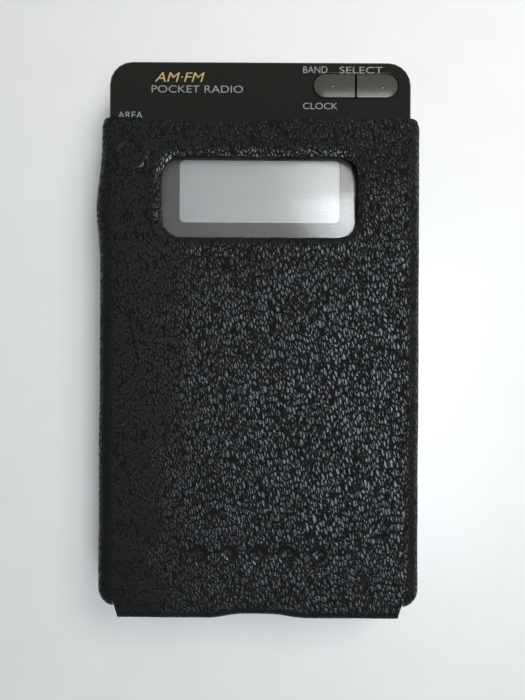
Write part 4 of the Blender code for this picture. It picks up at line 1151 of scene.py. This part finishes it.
def make_wrap():
    mesh = grid_mesh("case_wrap_skin", shape_wrap(wrap_grid()))
    for material in (grained_leather, edge_paint, raw_edge):
        mesh.materials.append(material)
    sheet = bpy.data.objects.new("wrap_sheet", mesh)
    bpy.context.scene.collection.objects.link(sheet)
    outer_count = len(mesh.vertices)
    normals = np.empty(outer_count * 3)
    mesh.vertex_normals.foreach_get("vector", normals)
    solid = sheet.modifiers.new("leather", "SOLIDIFY")
    solid.thickness = WRAP_LEATHER * MM
    solid.offset = -1
    solid.material_offset_rim = 1
    thick = evaluated_copy(sheet, "wrap_thick")
    places = np.empty(len(thick.vertices) * 3)
    thick.vertices.foreach_get("co", places)
    places = places.reshape(-1, 3)
    outer = places[:outer_count]
    outer += normals.reshape(-1, 3) * relief(outer / MM)[:, None] * MM
    outer[:, 2] = np.clip(outer[:, 2], wrap_back * MM, (wrap_front + 0.2) * MM)
    thick.vertices.foreach_set("co", places.ravel())
    inner = sheet.vertex_groups.new(name="inner")
    sheet.modifiers.clear()
    sheet.data = thick
    inner.add(list(range(outer_count, len(thick.vertices))), 1.0, "REPLACE")
    thin = sheet.modifiers.new("inner_face", "DECIMATE")
    thin.ratio = 0.56
    thin.vertex_group = "inner"
    cutter = make_cutout_cutter()
    cut = sheet.modifiers.new("display_cutout", "BOOLEAN")
    cut.object = cutter
    cut.solver = "MANIFOLD"
    skin = evaluated_copy(sheet, "case_wrap_skin")
    bpy.data.objects.remove(sheet)
    bpy.data.objects.remove(cutter)
    skin.shade_smooth()
    skin.set_sharp_from_angle(angle=math.radians(50))
    mark_cut_faces(skin)
    piece = bpy.data.objects.new("case_wrap_skin", skin)
    bpy.context.scene.collection.objects.link(piece)
    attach(piece, "case")
    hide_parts("case_wrap")


def make_cutout_cutter():
    """A prism over the cut-out, its outline a little uneven as a blade leaves it."""
    outline = []
    for corner in range(4):
        side_x = 1 if corner in (0, 3) else -1
        side_y = 1 if corner in (0, 1) else -1
        middle = (
            cutout_centre[0] + side_x * (CUTOUT_SIZE[0] / 2 - CUTOUT_CORNER),
            cutout_centre[1] + side_y * (CUTOUT_SIZE[1] / 2 - CUTOUT_CORNER),
        )
        for turn in np.radians(np.linspace(90 * corner, 90 * corner + 90, 13)):
            outline.append(
                (middle[0] + CUTOUT_CORNER * math.cos(turn), middle[1] + CUTOUT_CORNER * math.sin(turn))
            )
    fine = []
    for start, end in zip(outline, outline[1:] + outline[:1]):
        steps = max(1, round(math.dist(start, end) / 0.45))
        fine += [
            (start[0] + (end[0] - start[0]) * i / steps, start[1] + (end[1] - start[1]) * i / steps)
            for i in range(steps)
        ]
    bm = bmesh.new()
    ring = []
    for x, y in fine:
        drift = 0.16 * noise.noise(Vector((x * 0.5, y * 0.5, 3)))
        drift += 0.07 * noise.noise(Vector((x * 2.1, y * 2.1, 9)))
        out = Vector((x - cutout_centre[0], y - cutout_centre[1])).normalized() * drift
        ring.append(bm.verts.new(((x + out.x) * MM, (y + out.y) * MM, (wrap_front - 3) * MM)))
    base = bm.faces.new(ring)
    top = bmesh.ops.extrude_face_region(bm, geom=[base])
    bmesh.ops.translate(
        bm, vec=(0, 0, 6 * MM), verts=[v for v in top["geom"] if isinstance(v, bmesh.types.BMVert)]
    )
    bmesh.ops.recalc_face_normals(bm, faces=bm.faces)
    mesh = bpy.data.meshes.new("cutout_cutter")
    bm.to_mesh(mesh)
    bm.free()
    cutter = bpy.data.objects.new("cutout_cutter", mesh)
    bpy.context.scene.collection.objects.link(cutter)
    return cutter


def mark_cut_faces(mesh):
    """The walls of the cut-out show raw leather."""
    count = len(mesh.polygons)
    centres, normals = np.empty(count * 3), np.empty(count * 3)
    mesh.polygons.foreach_get("center", centres)
    mesh.polygons.foreach_get("normal", normals)
    centres, normals = centres.reshape(-1, 3) / MM, normals.reshape(-1, 3)
    edge = rounded_distance(centres[:, 0], centres[:, 1], cutout_centre, CUTOUT_SIZE, CUTOUT_CORNER)
    walls = (np.abs(edge) < 0.4) & (np.abs(normals[:, 2]) < 0.6) & (centres[:, 2] > wrap_front - 2)
    slots = np.empty(count, int)
    mesh.polygons.foreach_get("material_index", slots)
    slots[walls] = 2
    mesh.polygons.foreach_set("material_index", slots)


make_wrap()
